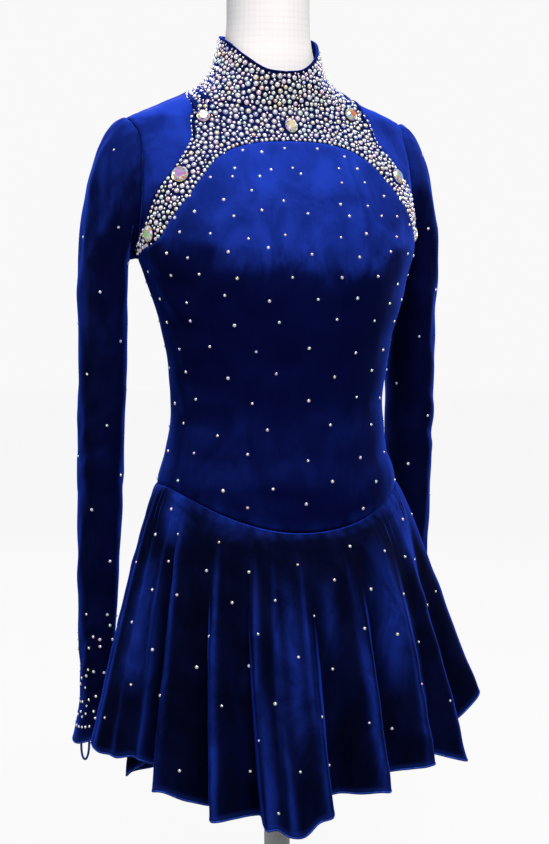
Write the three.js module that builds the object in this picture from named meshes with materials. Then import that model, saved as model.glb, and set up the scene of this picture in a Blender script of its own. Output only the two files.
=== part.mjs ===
// A figure skating dress of stretch velvet on a limbless dress form: high stoned collar and yoke,
// long set-in sleeves, drop waist and a full folded skirt. Millimetres, +Z up.
// The figure faces -Y and its left arm is at +X. The origin is the centre of the base's underside.
import * as THREE from 'three';

// ---- Driving sizes -------------------------------------------------------------------------
const CLOTH = 1.6; // velvet wall
const SEAM_GAP = 0.44; // clear gap between two pieces at a seam
const FORM_CLEARANCE = 3.6; // air between cloth and form
const WAIST_SIDE = 467; // height of the waist seam at the sides and back
const WAIST_DIP = 47; // how far the seam dips at centre front
const NECK_SIDE = 893; // height of the neck seam at the shoulder
const NECK_SLOPE = 27; // how far it falls to the front and rises to the back
const SHOULDER_TIP = 855; // top of the armhole
const YOKE_CORNER = 885; // where the yoke's outer edge meets the shoulder seam
const ARMHOLE = { middle: 34, depth: 42, low: 706, high: SHOULDER_TIP };
const BACK_BOW = 90; // reach of the back panels over the shoulder blades
const COLLAR_STAND_OFF = 1.4; // how far the collar's top edge stands off the neck
const BASE = { radius: 150, thick: 12, chamfer: 3 };
const POST = { radius: 14, flange: 42, flangeThick: 8, cone: 4 };
const BUTTON = { radius: 5, high: 3.2 };
const LOOP = { radius: 1.25, drop: 19, half: 7 };

// Level sections of the figure: height, half width, front and back depth, squareness.
const FIGURE = [
  { up: 330, half: 116, front: -82, back: 88, square: 2.1 },
  { up: 400, half: 130, front: -90, back: 95, square: 2.1 },
  { up: 430, half: 135, front: -93, back: 97, square: 2.1 },
  { up: 466, half: 133, front: -94, back: 96, square: 2.1 },
  { up: 500, half: 124, front: -89, back: 90, square: 2.1 },
  { up: 542, half: 118, front: -86, back: 84, square: 2.1 },
  { up: 590, half: 121, front: -91, back: 86, square: 2.1 },
  { up: 640, half: 131, front: -102, back: 94, square: 2.1 },
  { up: 690, half: 146, front: -108, back: 106, square: 2.15 },
  { up: 715, half: 154, front: -104, back: 111, square: 2.2 },
  { up: 740, half: 157, front: -95, back: 113, square: 2.25 },
  { up: 770, half: 159, front: -81, back: 113, square: 2.3 },
  { up: 805, half: 163, front: -59, back: 111, square: 2.25 },
  { up: 828, half: 165, front: -43, back: 108, square: 2.15 },
  { up: 846, half: 164, front: -31, back: 105, square: 2.05 },
  { up: 855, half: 158, front: -27, back: 103, square: 2 },
  { up: 863, half: 141, front: -25, back: 101, square: 2 },
  { up: 872, half: 119, front: -24, back: 99, square: 2 },
  { up: 882, half: 95, front: -24, back: 97, square: 2 },
  { up: 892, half: 77, front: -25, back: 94, square: 2 },
  { up: 904, half: 64, front: -25, back: 89, square: 2 },
  { up: 920, half: 57, front: -25, back: 83, square: 2 },
  { up: 940, half: 52, front: -24, back: 78, square: 2 },
  { up: 965, half: 50, front: -24, back: 76, square: 2 },
  { up: 992, half: 50, front: -24, back: 76, square: 2 },
  { up: 1002, half: 44, front: -18, back: 70, square: 2 },
  { up: 1006, half: 32, front: -6, back: 58, square: 2 },
];
const FORM_BOTTOM = 330;
const FORM_STEP = 22; // longest facet of the form upwards
const FORM_TOP = 1006;

// Yoke edges on one side, as a turn from centre front in degrees and a height.
const YOKE_OUTER = [
  { turn: 78, up: 745 },
  { turn: 65, up: 775 },
  { turn: 52, up: 798 },
  { turn: 43, up: 818 },
  { turn: 38, up: 838 },
  { turn: 41, up: 857 },
  { turn: 54, up: 873 },
];
const YOKE_INNER = [
  { turn: 72, up: 725 },
  { turn: 58, up: 750 },
  { turn: 47, up: 771 },
  { turn: 38, up: 791 },
  { turn: 30, up: 810 },
];
const YOKE_ARCH = [
  { turn: 22, up: 822 },
  { turn: 12, up: 829 },
  { turn: 0, up: 831 },
];
const COLLAR_TOP = [
  { turn: 0, up: 904 },
  { turn: 20, up: 907 },
  { turn: 45, up: 921 },
  { turn: 75, up: 937 },
  { turn: 110, up: 945 },
  { turn: 180, up: 948 },
];

// Head of a sleeve: outer end of each ring as it fans round the underarm, and its half depth.
// skew is the share of the armhole's bend that the ring still has.
const SLEEVE_HEAD = [
  { out: 163, up: 855, depth: 43, skew: 0.75 },
  { out: 174, up: 846, depth: 44, skew: 0.5 },
  { out: 186, up: 826, depth: 44, skew: 0.28 },
  { out: 196, up: 792, depth: 44, skew: 0.12 },
  { out: 203, up: 748, depth: 43.5, skew: 0 },
];
const UNDERARM = { out: 157.5, up: 702 };
// Arm of a sleeve, downwards: centre, half width, half depth, and how far its outer side is lower.
const SLEEVE_ARM = [
  { up: 699, out: 182, back: 44, half: 24.5, depth: 43, point: 0 },
  { up: 640, out: 182, back: 48, half: 24.5, depth: 42, point: 0 },
  { up: 560, out: 182, back: 51, half: 24, depth: 40, point: 0 },
  { up: 480, out: 183, back: 55, half: 23, depth: 38, point: 0 },
  { up: 400, out: 184, back: 59, half: 21.5, depth: 35, point: 0 },
  { up: 320, out: 185, back: 62, half: 19.5, depth: 31.5, point: 0 },
  { up: 262, out: 186, back: 64, half: 17, depth: 28, point: 1 },
  { up: 232, out: 187, back: 65, half: 15.5, depth: 26, point: 2 },
  { up: 210, out: 188, back: 66, half: 18.5, depth: 29, point: 5 },
  { up: 193, out: 189, back: 66, half: 22, depth: 33, point: 10 },
];
const SLEEVE_AROUND = 24;

// Folds of the skirt at the hem: turn, reach from the axis, height. Ridges and valleys alternate.
const FOLDS = [
  { turn: -90, reach: 210, up: 192 },
  { turn: -79, reach: 208, up: 188 },
  { turn: -70, reach: 195, up: 192 },
  { turn: -65.5, reach: 164, up: 178 },
  { turn: -60, reach: 203, up: 162 },
  { turn: -46, reach: 168, up: 147 },
  { turn: -40, reach: 205, up: 140 },
  { turn: -29, reach: 170, up: 141 },
  { turn: -24, reach: 201, up: 134 },
  { turn: -17, reach: 210, up: 127 },
  { turn: -7, reach: 205, up: 146 },
  { turn: -1, reach: 166, up: 157 },
  { turn: 11, reach: 205, up: 167 },
  { turn: 20, reach: 166, up: 172 },
  { turn: 31, reach: 202, up: 182 },
  { turn: 40, reach: 186, up: 184 },
  { turn: 50, reach: 212, up: 175 },
  { turn: 62, reach: 176, up: 190 },
  { turn: 78, reach: 228, up: 230 },
  { turn: 90, reach: 206, up: 218 },
  { turn: 110, reach: 146, up: 180 },
  { turn: 128, reach: 188, up: 188 },
  { turn: 139, reach: 152, up: 178 },
  { turn: 150, reach: 196, up: 172 },
  { turn: 161, reach: 158, up: 166 },
  { turn: 172, reach: 200, up: 160 },
  { turn: 183, reach: 160, up: 156 },
  { turn: 194, reach: 198, up: 152 },
  { turn: 204, reach: 160, up: 146 },
  { turn: 213, reach: 192, up: 140 },
  { turn: 222, reach: 158, up: 138 },
  { turn: 232, reach: 176, up: 133 },
  { turn: 249, reach: 146, up: 160 },
  { turn: 270, reach: 210, up: 192 },
];
const FOLD_STEPS = 3; // facets between a ridge and the next valley
const SKIRT_ROWS = [0, 0.07, 0.18, 0.33, 0.52, 0.74, 1];
const SKIRT_MEAN = 184; // hem reach without folds
const SKIRT_FLARE = 0.68; // below 1 the skirt spreads early and then hangs
const FOLD_GROWTH = 1.35; // folds deepen towards the hem

// Large crystals on the yoke: turn, height, half width, half height. lift sets the flat back of a
// crystal against the figure, so that it just clears the cloth's facets.
const CRYSTALS = [
  { name: 'crystal_centre', turn: 1, up: 847, half: 7, tall: 9, lift: 0.9 },
  { name: 'crystal_neck_L', turn: 33, up: 861, half: 7.5, tall: 7.5, lift: 0.34 },
  { name: 'crystal_neck_R', turn: -35, up: 856, half: 7, tall: 7, lift: 0.76 },
  { name: 'crystal_chest_L', turn: 47.5, up: 795, half: 7.5, tall: 9, lift: 0.28 },
  { name: 'crystal_chest_R', turn: -48, up: 794, half: 9, tall: 9, lift: 0.29 },
  { name: 'crystal_side_L', turn: 77, up: 733, half: 7.5, tall: 9, lift: -0.59 },
  { name: 'crystal_side_R', turn: -77, up: 733, half: 7.5, tall: 9, lift: -0.69 },
];
const CRYSTAL_HIGH = 4.5;
// Buttons down the centre back: height and lift, as for the crystals.
const BUTTONS = [
  { up: 938, lift: 1.5 },
  { up: 921, lift: 0.55 },
  { up: 904, lift: 0.33 },
];

// ---- Materials -----------------------------------------------------------------------------
const velvet = new THREE.MeshStandardMaterial({ color: 0x0d1f86, roughness: 0.95, metalness: 0 });
const stonedVelvet = new THREE.MeshStandardMaterial({ color: 0x8a93b8, roughness: 0.5, metalness: 0.2 });
const crystal = new THREE.MeshStandardMaterial({ color: 0xe8e2f2, roughness: 0.08, metalness: 0.6 });
const formCover = new THREE.MeshStandardMaterial({ color: 0xe9e9ec, roughness: 0.9, metalness: 0 });
const standPaint = new THREE.MeshStandardMaterial({ color: 0xf2f2f2, roughness: 0.4, metalness: 0 });
const elastic = new THREE.MeshStandardMaterial({ color: 0x14246e, roughness: 0.8, metalness: 0 });
const buttonShell = new THREE.MeshStandardMaterial({ color: 0x1b2f9c, roughness: 0.3, metalness: 0 });

const group = new THREE.Group();

function add(name, geometry, material) {
  const mesh = new THREE.Mesh(geometry, material);
  mesh.name = name;
  group.add(mesh);
}

// ---- Curves and surfaces -------------------------------------------------------------------
const rad = THREE.MathUtils.degToRad;
const lerp = THREE.MathUtils.lerp;
const AXES = [new THREE.Vector3(1, 0, 0), new THREE.Vector3(0, 1, 0), new THREE.Vector3(0, 0, 1)];

// Monotone cubic through the rows of a table: it never overshoots a row.
function smoothColumn(rows, column) {
  const at = rows.map((row) => row.up);
  const value = rows.map((row) => row[column]);
  const step = at.slice(1).map((next, i) => next - at[i]);
  const secant = step.map((width, i) => (value[i + 1] - value[i]) / width);
  const slope = value.map((_, i) => {
    if (i === 0) return secant[0];
    if (i === value.length - 1) return secant[i - 1];
    if (secant[i - 1] * secant[i] <= 0) return 0;
    const before = 2 * step[i] + step[i - 1];
    const after = step[i] + 2 * step[i - 1];
    return (before + after) / (before / secant[i - 1] + after / secant[i]);
  });
  return (up) => {
    let i = 0;
    while (i < step.length - 1 && up > at[i + 1]) i += 1;
    const t = THREE.MathUtils.clamp((up - at[i]) / step[i], 0, 1);
    const rise = t * t * (3 - 2 * t);
    const start = t * (1 - t) * (1 - t) * step[i] * slope[i];
    const finish = t * t * (t - 1) * step[i] * slope[i + 1];
    return lerp(value[i], value[i + 1], rise) + start + finish;
  };
}

const figureHalf = smoothColumn(FIGURE, 'half');
const figureFront = smoothColumn(FIGURE, 'front');
const figureBack = smoothColumn(FIGURE, 'back');
const figureSquare = smoothColumn(FIGURE, 'square');

function power(value, exponent) {
  return Math.sign(value) * Math.abs(value) ** exponent;
}

// A point of the figure: turn is 0 at centre front and 90 at the left side.
function figure(turn, up) {
  const exponent = 2 / figureSquare(up);
  const middle = (figureFront(up) + figureBack(up)) / 2;
  const depth = (figureBack(up) - figureFront(up)) / 2;
  const x = power(Math.sin(rad(turn)), exponent) * figureHalf(up);
  const y = middle - power(Math.cos(rad(turn)), exponent) * depth;
  return new THREE.Vector3(x, y, up);
}

// 0 on the figure's surface, negative inside it and positive outside.
function figureExcess({ x, y, z }) {
  const square = figureSquare(z);
  const middle = (figureFront(z) + figureBack(z)) / 2;
  const depth = (figureBack(z) - figureFront(z)) / 2;
  const reach = Math.abs(x / figureHalf(z)) ** square + Math.abs((y - middle) / depth) ** square;
  return reach ** (1 / square) - 1;
}

function figureSlope(point) {
  const probe = 0.2;
  const along = (axis) => {
    const ahead = figureExcess(point.clone().addScaledVector(axis, probe));
    const behind = figureExcess(point.clone().addScaledVector(axis, -probe));
    return (ahead - behind) / (2 * probe);
  };
  return new THREE.Vector3(along(AXES[0]), along(AXES[1]), along(AXES[2]));
}

// Moves a point along the slope of the surface until it lies on the figure.
function settle(point) {
  for (let pass = 0; pass < 8; pass += 1) {
    const slope = figureSlope(point);
    point.addScaledVector(slope, -figureExcess(point) / slope.lengthSq());
  }
  return point;
}

// A surface point raised or, with a negative lift, sunk along the surface's normal.
function lifted(point, lift) {
  return point.clone().addScaledVector(figureSlope(point).normalize(), lift);
}

// The armhole is an oval seen from the side; angle 0 is its top and 180 its bottom.
function armholePoint(angle, side) {
  const up = lerp(ARMHOLE.low, ARMHOLE.high, 0.5 + 0.5 * Math.cos(rad(angle)));
  const y = ARMHOLE.middle - ARMHOLE.depth * Math.sin(rad(angle));
  const middle = (figureFront(up) + figureBack(up)) / 2;
  const depth = (figureBack(up) - figureFront(up)) / 2;
  const cosine = power((middle - y) / depth, figureSquare(up) / 2);
  return { turn: side * THREE.MathUtils.radToDeg(Math.acos(cosine)), up };
}

function waistSeam(turn) {
  return WAIST_SIDE - WAIST_DIP * Math.max(0, Math.cos(rad(turn))) ** 2;
}

function neckSeam(turn) {
  return NECK_SIDE - NECK_SLOPE * Math.cos(rad(turn));
}

// ---- Chains of points along seams, as turns and heights --------------------------------------
function chain(points, steps) {
  const curve = new THREE.SplineCurve(points.map((p) => new THREE.Vector2(p.turn, p.up)));
  return curve.getPoints(steps).map((p) => ({ turn: p.x, up: p.y }));
}

function mirrored(points) {
  return points.map((p) => ({ turn: -p.turn, up: p.up }));
}

// Runs one step for each whole index from 0 to count, both ends included.
function steps(count, make) {
  return Array.from({ length: count + 1 }, (_, i) => make(i / count, i));
}

const ARMHOLE_STEP = 360 / SLEEVE_AROUND;
const ARMHOLE_HALF = SLEEVE_AROUND / 2;
const SIDE_STEPS = ARMHOLE_HALF - 2;
const BODICE_ROWS = 15;
const YOKE_ROWS = 4;
const SHOULDER_ROWS = 4;
const BACK_ROWS = 13;
const COLLAR_ROWS = 3;
const NECK_STEPS = 6;

function armholeChain(from, to, front) {
  const count = Math.abs(to - from);
  return steps(count, (t) => armholePoint(front * lerp(from, to, t) * ARMHOLE_STEP, 1));
}

const shoulderTip = { turn: 90, up: SHOULDER_TIP };
const yokeCorner = { turn: 90, up: YOKE_CORNER };
const neckSide = { turn: 90, up: NECK_SIDE };
const underarm = armholePoint(180, 1);
const yokeEnd = armholePoint(180 - ARMHOLE_STEP, 1);
const yokeOuterSide = chain([yokeEnd, ...YOKE_OUTER, yokeCorner], SIDE_STEPS);
const archSide = YOKE_INNER.at(-1);
const yokeInnerSide = chain([underarm, ...YOKE_INNER], SIDE_STEPS);
const archHalf = chain([archSide, ...YOKE_ARCH], NECK_STEPS + 2).slice(1);
const neckFrontHalf = steps(NECK_STEPS, (t) => ({ turn: 90 - 90 * t, up: neckSeam(90 - 90 * t) })).slice(1);
const seamToNeck = steps(2, (t) => ({ turn: 90, up: lerp(YOKE_CORNER, NECK_SIDE, t) })).slice(1);

// From the left underarm over the front to the right underarm.
function acrossFront(half) {
  return [...half, ...mirrored(half).reverse().slice(1)];
}

const yokeTop = acrossFront([...yokeOuterSide, ...seamToNeck, ...neckFrontHalf]);
const yokeBottom = acrossFront([...yokeInnerSide, ...archHalf]);

// ---- Walls ---------------------------------------------------------------------------------
// Turns indexed triangles into a geometry whose faces point outwards.
function solid(points, faces) {
  let volume = 0;
  for (const [a, b, c] of faces) {
    volume += points[a].dot(points[b].clone().cross(points[c]));
  }
  const index = volume > 0 ? faces.flat() : faces.flatMap(([a, b, c]) => [a, c, b]);
  const geometry = new THREE.BufferGeometry().setFromPoints(points);
  geometry.setIndex(index);
  geometry.computeVertexNormals();
  return geometry;
}

// A closed wall between two grids of points; a ring also joins its last column to its first.
function wall(outer, inner, ring = false) {
  const rows = outer.length;
  const columns = outer[0].length;
  const points = [...outer.flat(), ...inner.flat()];
  const layer = rows * columns;
  const faces = [];
  const quad = (a, b, c, d) => faces.push([a, b, c], [a, c, d]);
  const at = (row, column) => row * columns + (column % columns);
  const spans = ring ? columns : columns - 1;
  for (let row = 0; row < rows - 1; row += 1) {
    for (let column = 0; column < spans; column += 1) {
      const corners = [at(row, column), at(row + 1, column), at(row + 1, column + 1), at(row, column + 1)];
      quad(...corners);
      quad(...corners.reverse().map((corner) => corner + layer));
    }
    if (!ring) {
      quad(at(row, 0), at(row, 0) + layer, at(row + 1, 0) + layer, at(row + 1, 0));
      const last = columns - 1;
      quad(at(row, last), at(row + 1, last), at(row + 1, last) + layer, at(row, last) + layer);
    }
  }
  for (let column = 0; column < spans; column += 1) {
    const low = rows - 1;
    quad(at(0, column), at(0, column + 1), at(0, column + 1) + layer, at(0, column) + layer);
    quad(at(low, column), at(low, column) + layer, at(low, column + 1) + layer, at(low, column + 1));
  }
  return solid(points, faces);
}

// Draws the border of a grid in by half a seam gap, square to the seam, and the second grid with it.
function trimBorder(outer, inner) {
  const lastRow = outer.length - 1;
  const lastColumn = outer[0].length - 1;
  const at = (row, column) => {
    const nearRow = THREE.MathUtils.clamp(row, 0, lastRow);
    return outer[nearRow][THREE.MathUtils.clamp(column, 0, lastColumn)];
  };
  const moves = [];
  const pull = (row, column, downwards, sideways) => {
    const here = at(row, column);
    const move = at(row + downwards, column + sideways).clone().sub(here);
    const before = at(row - Math.abs(sideways), column - Math.abs(downwards));
    const after = at(row + Math.abs(sideways), column + Math.abs(downwards));
    const seam = after.clone().sub(before).normalize();
    move.addScaledVector(seam, -move.dot(seam)).setLength(SEAM_GAP / 2);
    moves.push({ row, column, move });
  };
  for (let column = 0; column <= lastColumn; column += 1) {
    pull(0, column, 1, 0);
    pull(lastRow, column, -1, 0);
  }
  for (let row = 0; row <= lastRow; row += 1) {
    pull(row, 0, 0, 1);
    pull(row, lastColumn, 0, -1);
  }
  for (const { row, column, move } of moves) {
    outer[row][column].add(move);
    inner[row][column].add(move);
  }
}

// A panel lies on the figure between the seam along its top and the one along its bottom.
// crowding above 1 brings its rows closer together near the top, and bow pushes the straight way
// between the seams backwards, over the shoulder blades, before it settles on the figure.
function panel(top, bottom, rows, { standOff = 0, crowding = 1, bow = 0 } = {}) {
  const shares = steps(rows, (t) => t ** crowding);
  const surface = shares.map((share) => top.map((start, i) => {
    const way = figure(start.turn, start.up).lerp(figure(bottom[i].turn, bottom[i].up), share);
    way.y += bow * share ** 0.35 * (1 - share) * Math.min(1, (2 * i) / (top.length - 1));
    return settle(way);
  }));
  const gridAt = (lift) => surface.map((row, r) => (
    row.map((point) => lifted(point, lift + standOff * (1 - shares[r])))
  ));
  const outer = gridAt(0);
  const inner = gridAt(-CLOTH);
  trimBorder(outer, inner);
  return wall(outer, inner);
}

// ---- Bodice, yoke and collar -----------------------------------------------------------------
const waistFront = yokeBottom.map((_, i) => {
  const turn = 90 - (180 * i) / (yokeBottom.length - 1);
  return { turn, up: waistSeam(turn) };
});
waistFront[0].turn = underarm.turn;
waistFront.at(-1).turn = -underarm.turn;

add('bodice_front', panel(yokeBottom, waistFront, BODICE_ROWS), velvet);
add('yoke', panel(yokeTop, yokeBottom, YOKE_ROWS), stonedVelvet);

const shoulderSeam = steps(SHOULDER_ROWS, (t) => ({ turn: 90, up: lerp(SHOULDER_TIP, YOKE_CORNER, t) }));
const armholeFront = armholeChain(ARMHOLE_HALF - 2, 0, 1);
armholeFront[SIDE_STEPS] = shoulderTip;
const neckBackHalf = steps(NECK_STEPS, (t) => ({ turn: 90 + 90 * t, up: neckSeam(90 + 90 * t) }));
const backTop = [
  ...armholeChain(ARMHOLE_HALF, 0, -1).slice(0, -1),
  ...shoulderSeam,
  ...seamToNeck,
  ...neckBackHalf.slice(1),
];
const waistBack = backTop.map((_, i) => {
  const turn = lerp(underarm.turn, 180, i / (backTop.length - 1));
  return { turn, up: waistSeam(turn) };
});

for (const [side, flip] of [['L', (points) => points], ['R', mirrored]]) {
  const shoulder = panel(flip(yokeOuterSide), flip(armholeFront), SHOULDER_ROWS);
  add(`shoulder_front_${side}`, shoulder, velvet);
  const overBlades = { crowding: 2, bow: BACK_BOW };
  const back = panel(flip(backTop), flip(waistBack), BACK_ROWS, overBlades);
  add(`back_${side}`, back, velvet);
}

const COLLAR_STEPS = 4 * NECK_STEPS;
const collarHeight = new THREE.SplineCurve(COLLAR_TOP.map((row) => new THREE.Vector2(row.turn, row.up)));
// Height of the collar's top edge at a turn, found by walking along its curve.
function collarEdge(turn) {
  const points = collarHeight.getPoints(60);
  const next = Math.max(1, points.findIndex((point) => point.x >= Math.abs(turn) - 1e-6));
  const [from, to] = [points[next - 1], points[next]];
  return lerp(from.y, to.y, (Math.abs(turn) - from.x) / (to.x - from.x));
}
const collarTurns = steps(COLLAR_STEPS, (t) => lerp(-180, 180, t));
const collarTop = collarTurns.map((turn) => ({ turn, up: collarEdge(turn) }));
const collarFoot = collarTurns.map((turn) => ({ turn, up: neckSeam(turn) }));
add('collar', panel(collarTop, collarFoot, COLLAR_ROWS, { standOff: COLLAR_STAND_OFF }), stonedVelvet);

// ---- Sleeves -------------------------------------------------------------------------------
const armholeTop = figure(90, SHOULDER_TIP);
const armholeBottom = figure(underarm.turn, underarm.up);

// Points of an oval ring between an inner and an outer end, in the plane of the ring.
function ringPoint(innerEnd, outerEnd, back, depth, angle, inset) {
  const middle = innerEnd.clone().add(outerEnd).multiplyScalar(0.5);
  const axis = outerEnd.clone().sub(innerEnd).multiplyScalar(0.5);
  const long = (axis.length() - inset) * Math.cos(rad(angle));
  const deep = (depth - inset) * Math.sin(rad(angle));
  const point = middle.addScaledVector(axis.normalize(), long);
  point.y = back - deep;
  return point;
}

function sleeveRings(inset) {
  const angles = Array.from({ length: SLEEVE_AROUND }, (_, i) => i * ARMHOLE_STEP);
  const seamRing = angles.map((angle) => {
    const { turn, up } = armholePoint(angle, 1);
    const middle = new THREE.Vector3(armholeTop.x, ARMHOLE.middle, (ARMHOLE.low + ARMHOLE.high) / 2);
    const point = lifted(figure(turn, up), -CLOTH / 2);
    const inwards = middle.sub(point).setX(0).setLength(SEAM_GAP + inset);
    return point.add(inwards);
  });
  const bend = angles.map((angle, i) => {
    const flat = ringPoint(armholeBottom, armholeTop, ARMHOLE.middle, ARMHOLE.depth, angle, inset);
    return seamRing[i].x - flat.x;
  });
  const headRings = SLEEVE_HEAD.map((row, number) => {
    const share = (number + 1) / (SLEEVE_HEAD.length + 1);
    const innerEnd = new THREE.Vector3(UNDERARM.out, 0, lerp(ARMHOLE.low, UNDERARM.up, share));
    const outerEnd = new THREE.Vector3(row.out, 0, row.up);
    const back = lerp(ARMHOLE.middle, SLEEVE_ARM[0].back, share);
    return angles.map((angle, i) => {
      const point = ringPoint(innerEnd, outerEnd, back, row.depth, angle, inset);
      point.x += bend[i] * row.skew;
      return point;
    });
  });
  const armRings = SLEEVE_ARM.map((row) => angles.map((angle) => {
    const x = row.out + (row.half - inset) * Math.cos(rad(angle));
    const y = row.back - (row.depth - inset) * Math.sin(rad(angle));
    const lower = row.point * Math.max(0, Math.cos(rad(angle))) ** 2;
    return new THREE.Vector3(x, y, row.up - lower);
  }));
  return [seamRing, ...headRings, ...armRings];
}

function mirrorRings(rings, side) {
  return rings.map((ring) => ring.map((point) => new THREE.Vector3(side * point.x, point.y, point.z)));
}

// ---- Finger loops --------------------------------------------------------------------------
const cuff = SLEEVE_ARM.at(-1);
const LOOP_ANGLE = 40; // place on the cuff, from its outer side towards the front

function fingerLoop(side) {
  const foot = (angle) => {
    const x = cuff.out + (cuff.half - CLOTH / 2) * Math.cos(rad(angle));
    const y = cuff.back - (cuff.depth - CLOTH / 2) * Math.sin(rad(angle));
    const lower = cuff.point * Math.cos(rad(angle)) ** 2;
    return new THREE.Vector3(side * x, y, cuff.up - lower - SEAM_GAP);
  };
  const spread = THREE.MathUtils.radToDeg(LOOP.half / cuff.depth);
  const [start, finish] = [foot(LOOP_ANGLE - spread), foot(LOOP_ANGLE + spread)];
  const path = new THREE.CatmullRomCurve3(steps(12, (t) => {
    const point = start.clone().lerp(finish, 0.5 - 0.5 * Math.cos(Math.PI * t));
    point.z -= LOOP.drop * Math.sin(Math.PI * t) ** 0.8;
    return point;
  }));
  const section = new THREE.Shape().absarc(0, 0, LOOP.radius, 0, 2 * Math.PI);
  const options = { steps: 14, curveSegments: 4, bevelEnabled: false, extrudePath: path };
  return new THREE.ExtrudeGeometry(section, options);
}

for (const [name, side] of [['L', 1], ['R', -1]]) {
  const outer = mirrorRings(sleeveRings(0), side);
  const inner = mirrorRings(sleeveRings(CLOTH), side);
  add(`sleeve_${name}`, wall(outer, inner, true), velvet);
  add(`finger_loop_${name}`, fingerLoop(side), elastic);
}

// ---- Skirt ---------------------------------------------------------------------------------
// A point of the skirt between the waist seam (fall 0) and the hem (fall 1).
function skirtPoint(fold, fall) {
  const top = figure(fold.turn, waistSeam(fold.turn));
  const start = Math.hypot(top.x, top.y);
  const spread = (SKIRT_MEAN - start) * fall ** SKIRT_FLARE;
  const wave = (fold.reach - SKIRT_MEAN) * fall ** FOLD_GROWTH;
  const reach = start + spread + wave;
  const heading = lerp(Math.atan2(top.x, -top.y), headingOf(fold.turn, top), fall);
  const up = lerp(top.z - SEAM_GAP / 2, fold.up, fall);
  return new THREE.Vector3(reach * Math.sin(heading), -reach * Math.cos(heading), up);
}

// The compass heading of a turn, kept next to the heading of the seam point above it.
function headingOf(turn, top) {
  const seam = Math.atan2(top.x, -top.y);
  const difference = rad(turn) - seam;
  return seam + Math.atan2(Math.sin(difference), Math.cos(difference));
}

// Ridges and valleys all round, joined by half waves; the last column closes on the first.
const foldColumns = FOLDS.slice(0, -1).flatMap((row, i) => {
  const next = FOLDS[i + 1];
  return Array.from({ length: FOLD_STEPS }, (_, step) => {
    const share = step / FOLD_STEPS;
    const wave = 0.5 - 0.5 * Math.cos(Math.PI * share);
    const turn = lerp(row.turn, next.turn, share);
    return { turn, reach: lerp(row.reach, next.reach, wave), up: lerp(row.up, next.up, wave) };
  });
});

const skirtOuter = SKIRT_ROWS.map((fall) => foldColumns.map((fold) => skirtPoint(fold, fall)));
const skirtInner = skirtOuter.map((row, r) => row.map((point, c) => {
  const below = skirtOuter[Math.min(r + 1, skirtOuter.length - 1)][c];
  const above = skirtOuter[Math.max(r - 1, 0)][c];
  const across = row[(c + 1) % row.length].clone().sub(row.at(c - 1));
  return point.clone().add(across.cross(below.clone().sub(above)).setLength(CLOTH));
}));

// The columns of the skirt between two side seams, both seams included.
function skirtHalf(from, to) {
  const first = foldColumns.findIndex((fold) => fold.turn === from);
  const last = foldColumns.findIndex((fold) => fold.turn === to);
  const slice = (row) => [...row, ...row].slice(first, last > first ? last + 1 : last + row.length + 1);
  const outer = skirtOuter.map((row) => slice(row).map((point) => point.clone()));
  const inner = skirtInner.map((row) => slice(row).map((point) => point.clone()));
  trimBorder(outer, inner);
  return wall(outer, inner);
}

add('skirt_front', skirtHalf(-90, 90), velvet);
add('skirt_back', skirtHalf(90, -90), velvet);

// ---- Large crystals and buttons --------------------------------------------------------------
// Places a piece that was made around +Z on the figure, its foot just above the cloth.
function seatOnFigure(geometry, turn, up, lift) {
  const foot = figure(turn, up);
  const normal = figureSlope(foot).normalize();
  const upright = new THREE.Vector3(0, 0, 1).addScaledVector(normal, -normal.z).normalize();
  const across = upright.clone().cross(normal);
  const place = new THREE.Matrix4().makeBasis(across, upright, normal);
  place.setPosition(lifted(foot, lift));
  return geometry.applyMatrix4(place);
}

function turned(profile, sides) {
  const points = profile.map(([radius, high]) => new THREE.Vector2(radius, high));
  return new THREE.LatheGeometry(points, sides).rotateX(Math.PI / 2);
}

for (const gem of CRYSTALS) {
  const girdle = CRYSTAL_HIGH * 0.35;
  const profile = [[0, 0], [0.94, 0], [1, girdle], [0.62, CRYSTAL_HIGH], [0, CRYSTAL_HIGH]];
  const shape = turned(profile, 8).scale(gem.half, gem.tall, 1);
  add(gem.name, seatOnFigure(shape, gem.turn, gem.up, gem.lift), crystal);
}

BUTTONS.forEach(({ up, lift }, i) => {
  const { radius, high } = BUTTON;
  const profile = [[0, 0], [radius * 0.8, 0], [radius, high * 0.4], [radius * 0.7, high * 0.9], [0, high]];
  add(`back_button_${i + 1}`, seatOnFigure(turned(profile, 12), 180, up, lift), buttonShell);
});

// ---- Dress form and stand ----------------------------------------------------------------------
function formTorso() {
  const around = 24;
  const levels = FIGURE.slice(0, -1).flatMap((row, i) => {
    const step = FIGURE[i + 1].up - row.up;
    const parts = Math.ceil(step / FORM_STEP);
    return Array.from({ length: parts }, (_, part) => row.up + (step * part) / parts);
  });
  levels.push(FORM_TOP);
  const points = [];
  for (const up of levels) {
    for (let i = 0; i < around; i += 1) {
      const turn = (360 * i) / around;
      points.push(lifted(figure(turn, up), -CLOTH - FORM_CLEARANCE));
    }
  }
  const faces = [];
  for (let level = 0; level < levels.length - 1; level += 1) {
    for (let i = 0; i < around; i += 1) {
      const next = (i + 1) % around;
      const [a, b] = [level * around + i, level * around + next];
      faces.push([a, b, b + around], [a, b + around, a + around]);
    }
  }
  const centre = (up) => new THREE.Vector3(0, (figureFront(up) + figureBack(up)) / 2, up);
  const bottom = points.push(centre(FORM_BOTTOM)) - 1;
  const top = points.push(centre(FORM_TOP)) - 1;
  const crown = (levels.length - 1) * around;
  for (let i = 0; i < around; i += 1) {
    const next = (i + 1) % around;
    faces.push([bottom, next, i], [top, crown + i, crown + next]);
  }
  return solid(points, faces);
}

add('form_torso', formTorso(), formCover);

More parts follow.
